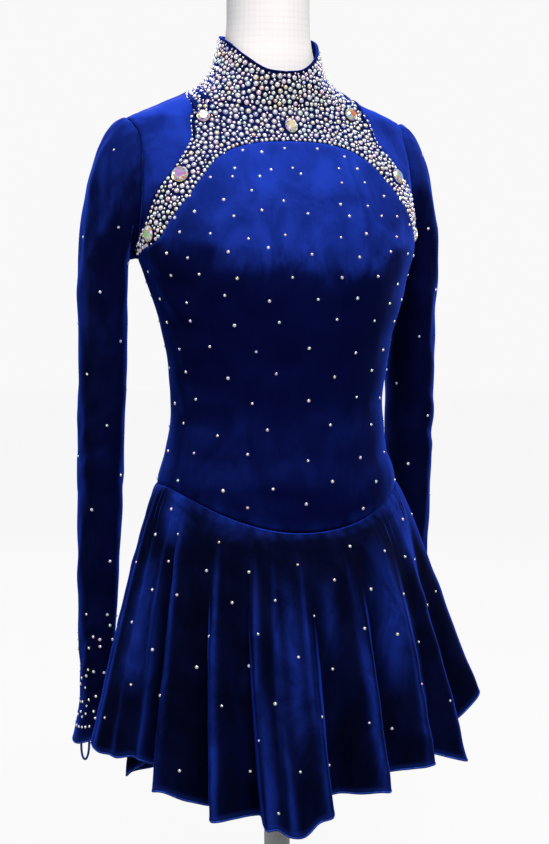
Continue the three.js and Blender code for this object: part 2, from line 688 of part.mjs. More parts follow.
const postFoot = BASE.thick + SEAM_GAP;
const postTop = FORM_BOTTOM - SEAM_GAP;
const flangeTop = postFoot + POST.flangeThick;
const flangeUnder = postTop - POST.flangeThick;
add('form_post', turned([
  [0, postFoot],
  [POST.flange, postFoot],
  [POST.flange, flangeTop],
  [POST.radius, flangeTop + POST.cone],
  [POST.radius, flangeUnder - POST.cone],
  [POST.flange, flangeUnder],
  [POST.flange, postTop],
  [0, postTop],
], 20), standPaint);
add('form_base', turned([
  [0, 0],
  [BASE.radius, 0],
  [BASE.radius, BASE.thick - BASE.chamfer],
  [BASE.radius - BASE.chamfer, BASE.thick],
  [0, BASE.thick],
], 36), standPaint);

export default group;
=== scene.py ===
"""Figure skating dress of royal blue stretch velvet, with closely set stones, on a limbless dress form.

Laid out as an add-on and run as a script. Tables are in millimetres and degrees, finished meshes in metres.
The figure faces -Y, and its left arm is at +X. A turn is 0 at centre front and 90 at the left side.
"""
import math
from contextlib import contextmanager

import bmesh
import bpy
import numpy as np
from bpy.props import FloatProperty, FloatVectorProperty, IntProperty, PointerProperty
from mathutils import Matrix, Vector
from mathutils.kdtree import KDTree


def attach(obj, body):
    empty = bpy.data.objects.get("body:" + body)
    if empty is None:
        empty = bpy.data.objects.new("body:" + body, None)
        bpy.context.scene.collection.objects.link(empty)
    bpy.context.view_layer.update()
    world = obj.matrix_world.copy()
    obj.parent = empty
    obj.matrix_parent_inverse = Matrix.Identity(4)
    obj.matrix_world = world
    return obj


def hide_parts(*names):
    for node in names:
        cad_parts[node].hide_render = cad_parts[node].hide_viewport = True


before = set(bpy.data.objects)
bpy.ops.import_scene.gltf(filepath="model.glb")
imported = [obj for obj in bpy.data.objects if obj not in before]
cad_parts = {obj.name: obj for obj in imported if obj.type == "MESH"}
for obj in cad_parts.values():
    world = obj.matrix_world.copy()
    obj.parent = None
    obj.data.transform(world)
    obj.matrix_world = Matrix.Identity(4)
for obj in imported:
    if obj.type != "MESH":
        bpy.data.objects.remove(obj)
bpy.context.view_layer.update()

bl_info = {
    "name": "Figure skating dress",
    "version": (1, 0, 0),
    "blender": (4, 5, 0),
    "location": "3D View > Sidebar > Dress",
    "description": "Builds a velvet figure skating dress with stones on a dress form",
    "category": "Object",
}

MM = 0.001

# ---- Tables ----------------------------------------------------------------------------------
# Level sections of the figure: height, half width, front depth, back depth, squareness.
FIGURE = (
    (330, 116, -82, 88, 2.1), (400, 130, -90, 95, 2.1), (430, 135, -93, 97, 2.1), (466, 133, -94, 96, 2.1),
    (500, 124, -89, 90, 2.1), (542, 118, -86, 84, 2.1), (590, 121, -91, 86, 2.1), (640, 131, -102, 94, 2.1),
    (690, 146, -108, 106, 2.15), (715, 154, -104, 111, 2.2), (740, 157, -95, 113, 2.25), (770, 159, -81, 113, 2.3),
    (805, 163, -59, 111, 2.25), (828, 165, -43, 108, 2.15), (846, 164, -31, 105, 2.05), (855, 158, -27, 103, 2),
    (863, 141, -25, 101, 2), (872, 119, -24, 99, 2), (882, 95, -24, 97, 2), (892, 77, -25, 94, 2),
    (904, 64, -25, 89, 2), (920, 57, -25, 83, 2), (940, 52, -24, 78, 2), (965, 50, -24, 76, 2), (992, 50, -24, 76, 2),
    (1002, 44, -18, 70, 2), (1006, 32, -6, 58, 2),
)
# Seams as turns and heights on the left side.
YOKE_OUTER = ((78, 745), (65, 775), (52, 798), (43, 818), (38, 838), (41, 857), (54, 873))
YOKE_INNER = ((72, 725), (58, 750), (47, 771), (38, 791), (30, 810))
YOKE_ARCH = ((22, 822), (12, 829), (0, 831))
COLLAR_TOP = ((0, 904), (20, 907), (45, 921), (75, 937), (110, 945), (180, 948))
ARMHOLE_MIDDLE, ARMHOLE_DEPTH, ARMHOLE_LOW, SHOULDER_TIP = 34, 42, 706, 855
YOKE_CORNER, NECK_SIDE, NECK_SLOPE = 885, 893, 27
WAIST_SIDE, WAIST_DIP = 467, 47
BACK_BOW = 90
COLLAR_STAND_OFF = 1.4
FORM_CLEARANCE = 3.6
# Head of a sleeve: outer end of each ring, its height, half depth, and share of the armhole's bend.
SLEEVE_HEAD = (
    (163, 855, 43, 0.75), (174, 846, 44, 0.5), (186, 826, 44, 0.28), (196, 792, 44, 0.12), (203, 748, 43.5, 0),
)
UNDERARM_OUT, UNDERARM_UP = 157.5, 702
# Arm of a sleeve: height, middle out, middle back, half width, half depth, drop of its outer side.
SLEEVE_ARM = (
    (699, 182, 44, 24.5, 43, 0), (640, 182, 48, 24.5, 42, 0), (560, 182, 51, 24, 40, 0), (480, 183, 55, 23, 38, 0),
    (400, 184, 59, 21.5, 35, 0), (320, 185, 62, 19.5, 31.5, 0), (262, 186, 64, 17, 28, 1),
    (232, 187, 65, 15.5, 26, 2), (210, 188, 66, 18.5, 29, 5), (193, 189, 66, 22, 33, 10),
)
# Folds of the skirt at the hem: turn, reach from the axis, height. Ridges and valleys alternate.
FOLDS = (
    (-90, 210, 192), (-79, 208, 188), (-70, 195, 192), (-65.5, 164, 178), (-60, 203, 162), (-46, 168, 147),
    (-40, 205, 140), (-29, 170, 141), (-24, 201, 134), (-17, 210, 127), (-7, 205, 146), (-1, 166, 157),
    (11, 205, 167), (20, 166, 172), (31, 202, 182), (40, 186, 184), (50, 212, 175), (62, 176, 190), (78, 228, 230),
    (90, 206, 218), (110, 146, 180), (128, 188, 188), (139, 152, 178), (150, 196, 172), (161, 158, 166),
    (172, 200, 160), (183, 160, 156), (194, 198, 152), (204, 160, 146), (213, 192, 140), (222, 158, 138),
    (232, 176, 133), (249, 146, 160), (270, 210, 192),
)
SKIRT_MEAN, SKIRT_FLARE, FOLD_GROWTH = 184, 0.68, 1.35
# Large crystals on the yoke: turn, height, half width, half height, height above the figure.
CRYSTALS = {
    "crystal_centre": (1, 847, 7, 9, 0.9),
    "crystal_neck_L": (33, 861, 7.5, 7.5, 0.34),
    "crystal_neck_R": (-35, 856, 7, 7, 0.76),
    "crystal_chest_L": (47.5, 795, 7.5, 9, 0.28),
    "crystal_chest_R": (-48, 794, 9, 9, 0.29),
    "crystal_side_L": (77, 733, 7.5, 9, -0.59),
    "crystal_side_R": (-77, 733, 7.5, 9, -0.69),
}
CRYSTAL_HIGH = 4.5
BUTTONS = ((938, 1.5), (921, 0.55), (904, 0.33))
BUTTON_RADIUS, BUTTON_HIGH = 5, 3.2
LOOP_RADIUS, LOOP_DROP, LOOP_HALF, LOOP_ANGLE = 1.25, 19, 7, 40
BASE_RADIUS, BASE_THICK, POST_RADIUS, POST_FLANGE, FLANGE_THICK = 150, 12, 14, 42, 8
FORM_BOTTOM, FORM_TOP = 330, 1006
SEAM_GAP = 0.44

# Creases pressed into or raised on a piece: start turn and height, end turn and height, half width, lift.
BODICE_CREASES = (
    (-84, 700, -52, 668, 7, -1.3), (-86, 688, -60, 640, 9, 1.2), (-88, 655, -50, 622, 8, -1.1),
    (-80, 620, -30, 598, 10, 0.9), (-86, 588, -40, 566, 9, -1.2), (-70, 560, -8, 540, 10, 1.1),
    (-84, 540, -36, 520, 8, -1.2), (-66, 508, -20, 488, 10, 1), (-84, 486, -48, 474, 7, -1.1),
    (84, 702, 50, 664, 8, -1.4), (88, 684, 58, 636, 9, 1.2), (86, 640, 44, 612, 8, -1.1), (84, 596, 36, 572, 10, 1),
    (86, 566, 44, 548, 8, -1.2), (80, 534, 20, 512, 10, 1), (86, 506, 46, 490, 8, -1.2), (60, 482, 10, 452, 9, 0.9),
    (-30, 462, 6, 446, 8, -0.8), (-22, 800, -6, 742, 12, 0.8), (20, 792, 8, 736, 12, 0.8),
    (-58, 724, -30, 712, 9, 0.9), (56, 722, 30, 706, 9, 0.9), (-34, 770, -20, 716, 10, -0.8),
    (34, 762, 18, 708, 10, -0.8),
)
SHOULDER_CREASES = (
    (84, 858, 52, 812, 7, -1.3), (80, 842, 50, 786, 8, 1.3), (88, 832, 64, 776, 7, -1.4), (74, 868, 48, 846, 7, 1),
    (82, 806, 74, 764, 6, 1.1),
)
BACK_CREASES = (
    (104, 700, 150, 672, 9, -1.5), (102, 668, 160, 632, 10, 1.3), (106, 640, 150, 604, 9, -1.5),
    (104, 600, 168, 570, 10, 1.3), (108, 566, 160, 548, 9, -1.6), (112, 540, 172, 520, 10, 1.3),
    (106, 508, 158, 496, 9, -1.4), (118, 488, 174, 478, 8, 1), (112, 800, 140, 730, 12, 1.2),
    (126, 850, 150, 770, 12, -1.2), (150, 880, 166, 800, 12, 1), (140, 700, 172, 640, 14, -1),
)
# Creases of a sleeve: angle from its outer side towards the front and share of the length, at both ends.
SLEEVE_CREASES = (
    (20, 0.03, 52, 0.15, 6, -1.8), (64, 0.05, 38, 0.2, 7, 1.7), (-30, 0.04, -60, 0.17, 7, -1.8),
    (-70, 0.06, -44, 0.22, 7, 1.6), (96, 0.1, 60, 0.25, 8, -1.7), (0, 0.07, 14, 0.24, 8, 1.3),
    (-4, 0.02, -14, 0.12, 6, -1.4), (120, 0.18, 84, 0.33, 8, 1.6), (40, 0.24, 70, 0.36, 8, -1.4),
    (100, 0.4, 30, 0.45, 7, -1.9), (84, 0.43, 10, 0.49, 7, 1.7), (108, 0.47, 40, 0.52, 7, -2),
    (60, 0.5, -6, 0.55, 8, 1.5), (-60, 0.42, 0, 0.47, 8, 1.4), (-96, 0.46, -30, 0.51, 7, -1.7),
    (-80, 0.51, -20, 0.57, 8, 1.5), (40, 0.56, 64, 0.7, 8, -1.3), (10, 0.6, -16, 0.74, 8, 1.2),
    (76, 0.66, 50, 0.8, 7, -1.4), (60, 0.8, 0, 0.83, 5, -1.2), (70, 0.84, 4, 0.87, 5, 1.1),
    (54, 0.875, -14, 0.895, 4, -1.2), (-50, 0.82, -6, 0.86, 5, 1.1), (150, 0.2, 176, 0.34, 8, -1.5),
    (196, 0.5, 150, 0.56, 8, 1.5), (170, 0.62, 190, 0.74, 8, -1.3),
)
# Smaller folds of the skirt between the large ones: turn, share of the fall where it starts, half width, lift.
SKIRT_CREASES = (
    (-86, 0.02, 3.2, 3), (-80, 0.3, 2.4, -2.6), (-74, 0.08, 2.6, -3.5), (-68, 0.03, 2.2, 3), (-61, 0.05, 1.9, 4.5),
    (-56, 0.35, 1.8, -2.6), (-52, 0.12, 2.2, 2.6), (-46, 0.3, 1.8, -2.8), (-41, 0.14, 1.8, 4.5), (-35, 0.25, 2, -2.4),
    (-31, 0.05, 1.8, 2), (-24.5, 0.1, 1.7, 4.5), (-19, 0.35, 1.6, -2), (-14, 0.06, 1.9, 3), (-7.5, 0.2, 1.7, 4.2),
    (-3, 0.4, 1.6, -2.4), (4, 0.1, 2.2, 2.2), (11, 0.22, 1.8, 4.2), (16, 0.04, 2, -2.4), (22, 0.1, 2.4, 3),
    (28, 0.3, 2, -2.6), (36, 0.04, 2.2, 2.6), (44, 0.2, 2.2, -2.4), (50, 0.08, 2.2, 3.6), (57, 0.35, 2, -2.6),
    (70, 0.06, 2.6, 3.2), (84, 0.16, 3, -4), (97, 0.04, 3, 4), (103, 0.3, 3, -4), (117, 0.1, 3, 3.6),
    (134, 0.05, 2.4, 3), (145, 0.2, 2.4, 3), (155, 0.1, 2.2, -2.8), (167, 0.3, 2.4, 3), (177, 0.06, 2.2, 2.6),
    (188, 0.2, 2.4, -3), (199, 0.1, 2.2, 2.6), (208, 0.32, 2.2, 3), (218, 0.04, 2.4, 2.8), (227, 0.2, 2.4, -3),
    (240, 0.08, 3, 3.6), (257, 0.2, 3.2, -4), (263, 0.05, 3, 3.4),
)

# Wrinkles just below the waist seam: turn, half its spread, drop below the seam, drop more a degree, lift.
WAIST_WRINKLES = (
    (-66, 9, 9, 0.35, 1.1), (-58, 7, 17, 0.5, -1.2), (-44, 8, 8, -0.1, 0.8), (-14, 9, 9, -0.25, 1.2),
    (-9, 8, 15, 0.3, 1.2), (-2, 7, 12, -0.3, -1), (24, 8, 8, -0.1, 0.9), (49, 8, 12, -0.4, 1.2),
    (60, 7, 20, -0.4, -1.1), (96, 9, 9, 0.3, 1.1), (124, 8, 14, -0.2, 1), (150, 9, 9, 0.2, 1.1),
    (176, 8, 15, -0.3, -1), (204, 9, 10, 0.2, 1.1), (236, 8, 13, -0.3, 1),
)
# Painted highlights on the skirt: turn, shares of the fall where each starts and ends, half width, strength.
SKIRT_PAINTED_HIGHLIGHTS = (
    (-77, 0.22, 0.8, 4.5, 1.1), (-68, -0.12, 0.2, 7, 1.6), (-62, 0.0, 0.5, 1.6, 0.8), (-40, 0.1, 0.9, 1.3, 0.6),
    (-37, -0.06, 0.08, 9, 0.4), (-12, 0.1, 0.8, 2.4, 0.65), (-22, 0.5, 1.1, 1.5, 0.5), (2, 0.15, 0.5, 2, 0.35),
    (26, 0.06, 0.72, 5, 0.8), (10, 0.3, 1.1, 1.2, 0.5), (52, -0.1, 0.3, 7, 1.4), (60, 0.2, 0.9, 3, 0.7),
    (88, 0.1, 0.6, 4, 0.6), (116, 0.1, 0.7, 3, 0.6), (142, 0.2, 0.9, 3, 0.7), (153, -0.1, 0.2, 8, 0.6),
    (176, 0.15, 0.8, 2.4, 0.6), (200, 0.3, 1.1, 2, 0.6), (226, 0.1, 0.6, 4, 0.8), (252, -0.1, 0.3, 7, 0.8),
)


# ---- Settings that a user would change ---------------------------------------------------------
def length_property(name, description, default):
    return FloatProperty(name=name, description=description, default=default, unit="LENGTH")


def colour_property(name, description, default):
    return FloatVectorProperty(name=name, description=description, default=default, size=3, subtype="COLOR")


class DressSizes(bpy.types.PropertyGroup):
    """Sizes of the cloth, its creases and the stones."""
    cloth: length_property("Cloth", "Thickness of the velvet", 0.0016)
    hem: length_property("Rolled hem", "Radius of the rolled hem", 0.0012)
    seam_depth: length_property("Seam depth", "How far a seam sinks", 0.0006)
    seam_width: length_property("Seam width", "How far a seam draws the cloth in", 0.0028)
    crease: FloatProperty(name="Creases", description="Share of the creases' full depth", default=1.0, min=0, max=2)
    stone_gap: length_property("Stone gap", "Cloth that shows between set stones", 0.0003)
    scatter: length_property("Scattered stones", "Width of a scattered stone", 0.0035)
    seed: IntProperty(name="Seed", description="Start of the random draws for the stones", default=7)


class DressColours(bpy.types.PropertyGroup):
    """Colours of the finishes."""
    velvet: colour_property("Velvet", "Pile seen upright", (0.0009, 0.0026, 0.044))
    # The lit colour is painted light, where the pile tilts up or takes a painted highlight.
    velvet_lit: colour_property("Painted lit velvet", "Pile painted in the lit colour", (0.012, 0.045, 0.46))
    # The edge colour is a painted sheen.
    painted_sheen_colour: colour_property("Velvet's painted sheen", "Pile seen from the side", (0.012, 0.052, 0.6))
    sheen: colour_property("Sheen", "Tint of the pile at its edges", (0.04, 0.14, 1.0))
    cover: colour_property("Form cover", "Knitted cover of the form", (0.95, 0.93, 0.93))
    paint: colour_property("Stand", "Paint of the stand", (0.9, 0.9, 0.9))


def sizes():
    """The scene's sizes."""
    return bpy.context.scene.dress_sizes


def colours():
    """The scene's colours."""
    return bpy.context.scene.dress_colours


# ---- The figure --------------------------------------------------------------------------------
def smooth_column(rows, column):
    """Monotone cubic through a column of a table, by the table's first column."""
    at = np.array([row[0] for row in rows], float)
    value = np.array([row[column] for row in rows], float)
    step = np.diff(at)
    secant = np.diff(value) / step
    slope = np.zeros(len(value))
    slope[0], slope[-1] = secant[0], secant[-1]
    for i in range(1, len(value) - 1):
        if secant[i - 1] * secant[i] > 0:
            before, after = 2 * step[i] + step[i - 1], step[i] + 2 * step[i - 1]
            slope[i] = (before + after) / (before / secant[i - 1] + after / secant[i])

    def read(up):
        i = np.clip(np.searchsorted(at, up, side="right") - 1, 0, len(step) - 1)
        t = np.clip((up - at[i]) / step[i], 0, 1)
        rise = value[i] + (value[i + 1] - value[i]) * t * t * (3 - 2 * t)
        return rise + step[i] * t * (1 - t) * ((1 - t) * slope[i] - t * slope[i + 1])

    return read


HALF, FRONT, BACK, SQUARE = (smooth_column(FIGURE, column) for column in (1, 2, 3, 4))


def power(value, exponent):
    """A power that keeps the sign."""
    return np.sign(value) * np.abs(value) ** exponent


def figure(turn, up):
    """Points of the figure's surface at these turns and heights."""
    turn, up = np.broadcast_arrays(np.radians(np.asarray(turn, float)), np.asarray(up, float))
    exponent = 2 / SQUARE(up)
    middle, depth = (FRONT(up) + BACK(up)) / 2, (BACK(up) - FRONT(up)) / 2
    x = power(np.sin(turn), exponent) * HALF(up)
    y = middle - power(np.cos(turn), exponent) * depth
    return np.stack([x, y, up], -1)


def excess(points):
    """Negative inside the figure, 0 on it, positive outside."""
    x, y, up = np.moveaxis(points, -1, 0)
    square = SQUARE(up)
    middle, depth = (FRONT(up) + BACK(up)) / 2, (BACK(up) - FRONT(up)) / 2
    return (np.abs(x / HALF(up)) ** square + np.abs((y - middle) / depth) ** square) ** (1 / square) - 1


def slope_of(points):
    """Gradient of excess, which points out of the figure."""
    probe = 0.2
    parts = [(excess(points + probe * axis) - excess(points - probe * axis)) / (2 * probe) for axis in np.eye(3)]
    return np.stack(parts, -1)


def settle(points):
    """Moves points along the surface's slope until they lie on the figure."""
    for _ in range(8):
        slope = slope_of(points)
        points = points - slope * (excess(points) / (slope ** 2).sum(-1))[..., None]
    return points


def bell(away, width):
    """1 at no distance, falling softly away over a width."""
    return np.exp(-((away / width) ** 2))


def apart(turn, middle):
    """Degrees from a middle to each turn, the short way round."""
    return (turn - middle + 180) % 360 - 180


def unit(vectors):
    return vectors / np.maximum(np.linalg.norm(vectors, axis=-1, keepdims=True), 1e-12)


def spline(points, count):
    """Uniform Catmull-Rom curve through points, as count steps."""
    points = np.array(points, float)
    last = len(points) - 1
    along = np.linspace(0, last, count + 1)
    i = np.minimum(along.astype(int), last - 1)
    t = (along - i)[:, None]
    a, b, c, d = points[np.maximum(i - 1, 0)], points[i], points[i + 1], points[np.minimum(i + 2, last)]
    u, v = (c - a) / 2, (d - b) / 2
    return (2 * b - 2 * c + u + v) * t ** 3 + (3 * c - 3 * b - 2 * u - v) * t ** 2 + u * t + b


def armhole(angle):
    """Turns and heights of the left armhole: angle 0 is its top, positive towards the front."""
    angle = np.radians(angle)
    up = ARMHOLE_LOW + (SHOULDER_TIP - ARMHOLE_LOW) * (0.5 + 0.5 * np.cos(angle))
    y = ARMHOLE_MIDDLE - ARMHOLE_DEPTH * np.sin(angle)
    middle, depth = (FRONT(up) + BACK(up)) / 2, (BACK(up) - FRONT(up)) / 2
    cosine = power((middle - y) / depth, SQUARE(up) / 2)
    return np.stack([np.degrees(np.arccos(np.clip(cosine, -1, 1))), up], -1)


def waist_seam(turn):
    """Height of the dropped waist, lowest at centre front."""
    return WAIST_SIDE - WAIST_DIP * np.maximum(0, np.cos(np.radians(turn))) ** 2


def neck_seam(turn):
    """Height of the seam between yoke and collar, lowest at centre front."""
    return NECK_SIDE - NECK_SLOPE * np.cos(np.radians(turn))


FINE = 5  # columns of cloth for one column of the solid
ARMHOLE_STEP = 15
SIDE = 10 * FINE
NECK = 6 * FINE
UNDERARM = armhole(180.0)
YOKE_END = armhole(180.0 - ARMHOLE_STEP)


def seam_between(first, last, count, height):
    """Turns and heights along a seam whose height follows from the turn."""
    turn = np.linspace(first, last, count + 1)
    return np.stack([turn, height(turn)], -1)


def at_side(start, end, count):
    """Turns and heights straight up or down the left side."""
    return np.stack([np.full(count + 1, 90.0), np.linspace(start, end, count + 1)], -1)


def across(half):
    """From the left underarm over the front to the right underarm."""
    return np.concatenate([half, (half * (-1, 1))[-2::-1]])


YOKE_OUTER_SIDE = spline([YOKE_END, *YOKE_OUTER, (90, YOKE_CORNER)], SIDE)
YOKE_INNER_SIDE = spline([UNDERARM, *YOKE_INNER], SIDE)
ARCH = spline([YOKE_INNER[-1], *YOKE_ARCH], 8 * FINE)
TO_NECK = at_side(YOKE_CORNER, NECK_SIDE, 2 * FINE)
YOKE_TOP = across(np.concatenate([YOKE_OUTER_SIDE, TO_NECK[1:], seam_between(90, 0, NECK, neck_seam)[1:]]))
YOKE_BOTTOM = across(np.concatenate([YOKE_INNER_SIDE, ARCH[1:]]))
ARMHOLE_FRONT = armhole(np.linspace(180 - 2 * ARMHOLE_STEP, 0, SIDE + 1))
SHOULDER_SEAM = at_side(SHOULDER_TIP, YOKE_CORNER, 4 * FINE)
BACK_TOP = np.concatenate([
    armhole(-np.linspace(180, 0, 12 * FINE + 1))[:-1], SHOULDER_SEAM, TO_NECK[1:],
    seam_between(90, 180, NECK, neck_seam)[1:],
])


def panel(top, bottom, rows, crowding=1.0, bow=0.0, stand_off=0.0):
    """Rows of points on the figure between a seam along the top and one along the bottom."""
    share = (np.linspace(0, 1, rows + 1) ** crowding)[:, None, None]
    way = figure(*top.T)[None] * (1 - share) + figure(*bottom.T)[None] * share
    inwards = np.minimum(1, 2 * np.arange(len(top)) / (len(top) - 1))
    way[..., 1] += bow * share[..., 0] ** 0.35 * (1 - share[..., 0]) * inwards
    surface = settle(way)
    normals = unit(slope_of(surface))
    return surface + normals * stand_off * (1 - share), normals


# ---- Relief ------------------------------------------------------------------------------------
# A crease strays from its straight line by this much, over this reach, from these starts.
WANDER, WANDER_REACH, WANDER_START = 3.5, 17, np.array([0.4, 1.9, 3.1])
# The cloth lies calm near a seam; further in it rises and falls at this reach.
CALM, UNDULATION_REACH = 9, 46
# Small puckers along a seam: height, pace along the seam, distance in, width.
PUCKER, PUCKER_PACE, PUCKER_IN, PUCKER_WIDE = 0.22, 2.1, 4, 3


def border_distance(surface, sides=(1, 1, 1, 1)):
    """Distance in from the borders that count: top row, bottom row, first column, last column."""
    down = np.linalg.norm(np.diff(surface, axis=0), axis=-1).cumsum(0)
    down = np.concatenate([np.zeros((1, surface.shape[1])), down])
    along = np.linalg.norm(np.diff(surface, axis=1), axis=-1).cumsum(1)
    along = np.concatenate([np.zeros((surface.shape[0], 1)), along], 1)
    far = 1e3
    ways = (down, down[-1:] - down, along, along[:, -1:] - along)
    return np.minimum.reduce([way if counts else np.full_like(way, far) for way, counts in zip(ways, sides)])


def rumple(points, reach, size, seed):
    """Soft uneven rise and fall of a surface, size in height and about reach across."""
    draw = np.random.default_rng(seed)
    rise = np.zeros(points.shape[:-1])
    waves = 9
    for _ in range(waves):
        heading = unit(draw.normal(size=3))
        wave = 2 * np.pi / (reach * draw.uniform(0.6, 1.6))
        bend = 0.9 * np.sin(points @ unit(draw.normal(size=3)) * wave * 0.6 + draw.uniform(0, 6.28))
        rise += np.sin(points @ heading * wave + bend + draw.uniform(0, 6.28))
    return size * rise / 3


def pressed(points, creases):
    """Soft troughs and ridges along lines, given as start, end, half width and lift."""
    bent = points + WANDER * np.sin(points[..., [2, 0, 1]] / WANDER_REACH + WANDER_START)
    lift = np.zeros(points.shape[:-1])
    for start, end, width, high in creases:
        line = end - start
        length = line @ line
        t = (bent - start) @ line / length
        away = np.linalg.norm(bent - start - t[..., None] * line, axis=-1)
        taper = np.sin(np.pi * np.clip(t, 0, 1)) ** 0.7
        lift += high * taper * bell(away, width * (0.75 + 0.5 * t))
    return lift * sizes().crease


def on_figure(table, side=1):
    """Creases of a table as points in space, on the left side or mirrored."""
    return [(figure(side * a, b), figure(side * c, d), width, lift) for a, b, c, d, width, lift in table]


def sewn(surface, normals, creases, seed, sides=(1, 1, 1, 1), undulation=0.55):
    """A panel with its creases, its uneven lie, and its seams drawn in. Gives the surface and the seam mask."""
    away = border_distance(surface, sides)
    depth, width = sizes().seam_depth / MM, sizes().seam_width / MM
    calm = 1 - bell(away, CALM)
    lift = (pressed(surface, creases) + rumple(surface, UNDULATION_REACH, undulation, seed)) * calm
    # The groove also serves as the seam mask, which the velvet paints with shade.
    groove = bell(away, width)
    pucker = PUCKER * np.sin(np.arange(surface.shape[1]) * PUCKER_PACE)[None] * bell(away - PUCKER_IN, PUCKER_WIDE)
    return surface + normals * (lift - depth * groove + pucker)[..., None], groove


def facing(surface, closed=False):
    """Normals of a grid of points, from its rows and columns."""
    across_way = np.gradient(surface, axis=1)
    if closed:
        ring = surface[:, :-1]
        across_way[:, :-1] = np.roll(ring, -1, 1) - np.roll(ring, 1, 1)
        across_way[:, -1] = across_way[:, 0]
    return unit(np.cross(across_way, np.gradient(surface, axis=0)))


# ---- Meshes ------------------------------------------------------------------------------------
def finished(name, mesh, finish, slot, node=None):
    """Gives a finished mesh or curve its object, finish and body, and hides the node that it stands for."""
    mesh.materials.append(finish)
    piece = bpy.data.objects.new(name, mesh)
    bpy.context.scene.collection.objects.link(piece)
    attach(piece, "root")
    if node:
        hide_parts(node)
    return piece


def as_mesh(bm, name):
    """Turns a finished bmesh into a new mesh."""
    mesh = bpy.data.meshes.new(name)
    bm.to_mesh(mesh)
    bm.free()
    return mesh


@contextmanager
def editing(mesh):
    """A bmesh of a mesh, written back when the work on it is done."""
    bm = bmesh.new()
    bm.from_mesh(mesh)
    yield bm
    bm.to_mesh(mesh)
    bm.free()


def grid_mesh(name, surface, closed=False, masks=None, turn_over=False):
    """A mesh of a grid of points in millimetres, its last column joined to the first if it is closed."""
    rows, columns = surface.shape[:2]
    bm = bmesh.new()
    bm.loops.layers.uv.new("UVMap")
    bmesh.ops.create_grid(bm, x_segments=columns - 1, y_segments=rows - 1, size=1, calc_uvs=True)
    if turn_over:
        bmesh.ops.reverse_faces(bm, faces=bm.faces)
    mesh = as_mesh(bm, name)
    mesh.vertices.foreach_set("co", (surface * MM).astype(np.float32).reshape(-1))
    for label, values in (masks or {}).items():
        layer = mesh.attributes.new(label, "FLOAT", "POINT")
        layer.data.foreach_set("value", np.broadcast_to(values, (rows, columns)).astype(np.float32).reshape(-1))
    if closed:
        with editing(mesh) as bm:
            bmesh.ops.remove_doubles(bm, verts=bm.verts, dist=2e-6)
    mesh.update()
    mesh.shade_smooth()
    return mesh


TUBE_END = np.array([0.02, 0.6, 0.9])  # shares of the radius over the first rings of a rounded end


def tube(name, path, radius, sides=8, closed=False):
    """A round tube along a path in millimetres; one that isn't closed has rounded ends."""
    along = unit(np.roll(path, -1, 0) - np.roll(path, 1, 0) if closed else np.gradient(path, axis=0))
    radius = np.full(len(path), float(radius))
    if not closed:
        radius[:len(TUBE_END)] *= TUBE_END
        radius[-len(TUBE_END):] *= TUBE_END[::-1]
    aside = unit(np.cross(along, (0.0, 0.0, 1.0)) + 1e-6)
    over = np.cross(aside, along)
    angle = np.linspace(0, 2 * np.pi, sides + 1)
    angle[-1] = 0
    rings = path[:, None] + radius[:, None, None] * (
        np.cos(angle)[None, :, None] * aside[:, None] + np.sin(angle)[None, :, None] * over[:, None])
    if closed:
        rings = np.concatenate([rings, rings[:1]])
    mesh = grid_mesh(name, rings, closed=True)
    with editing(mesh) as bm:
        if not closed:
            bmesh.ops.holes_fill(bm, edges=[edge for edge in bm.edges if edge.is_boundary], sides=sides)
        bmesh.ops.recalc_face_normals(bm, faces=bm.faces)
    mesh.shade_smooth()
    return mesh


def turned_mesh(name, profile, sides):
    """A closed turned shape around +Z from a profile of radii and heights that starts and ends on the axis."""
    bm = bmesh.new()
    points = [bm.verts.new((radius, 0, high)) for radius, high in profile]
    edges = [bm.edges.new(pair) for pair in zip(points, points[1:])]
    bmesh.ops.spin(bm, geom=points + edges, axis=(0, 0, 1), cent=(0, 0, 0), angle=2 * math.pi, steps=sides,
                   use_merge=True)
    bmesh.ops.remove_doubles(bm, verts=bm.verts, dist=1e-5)
    bmesh.ops.recalc_face_normals(bm, faces=bm.faces)
    return as_mesh(bm, name)


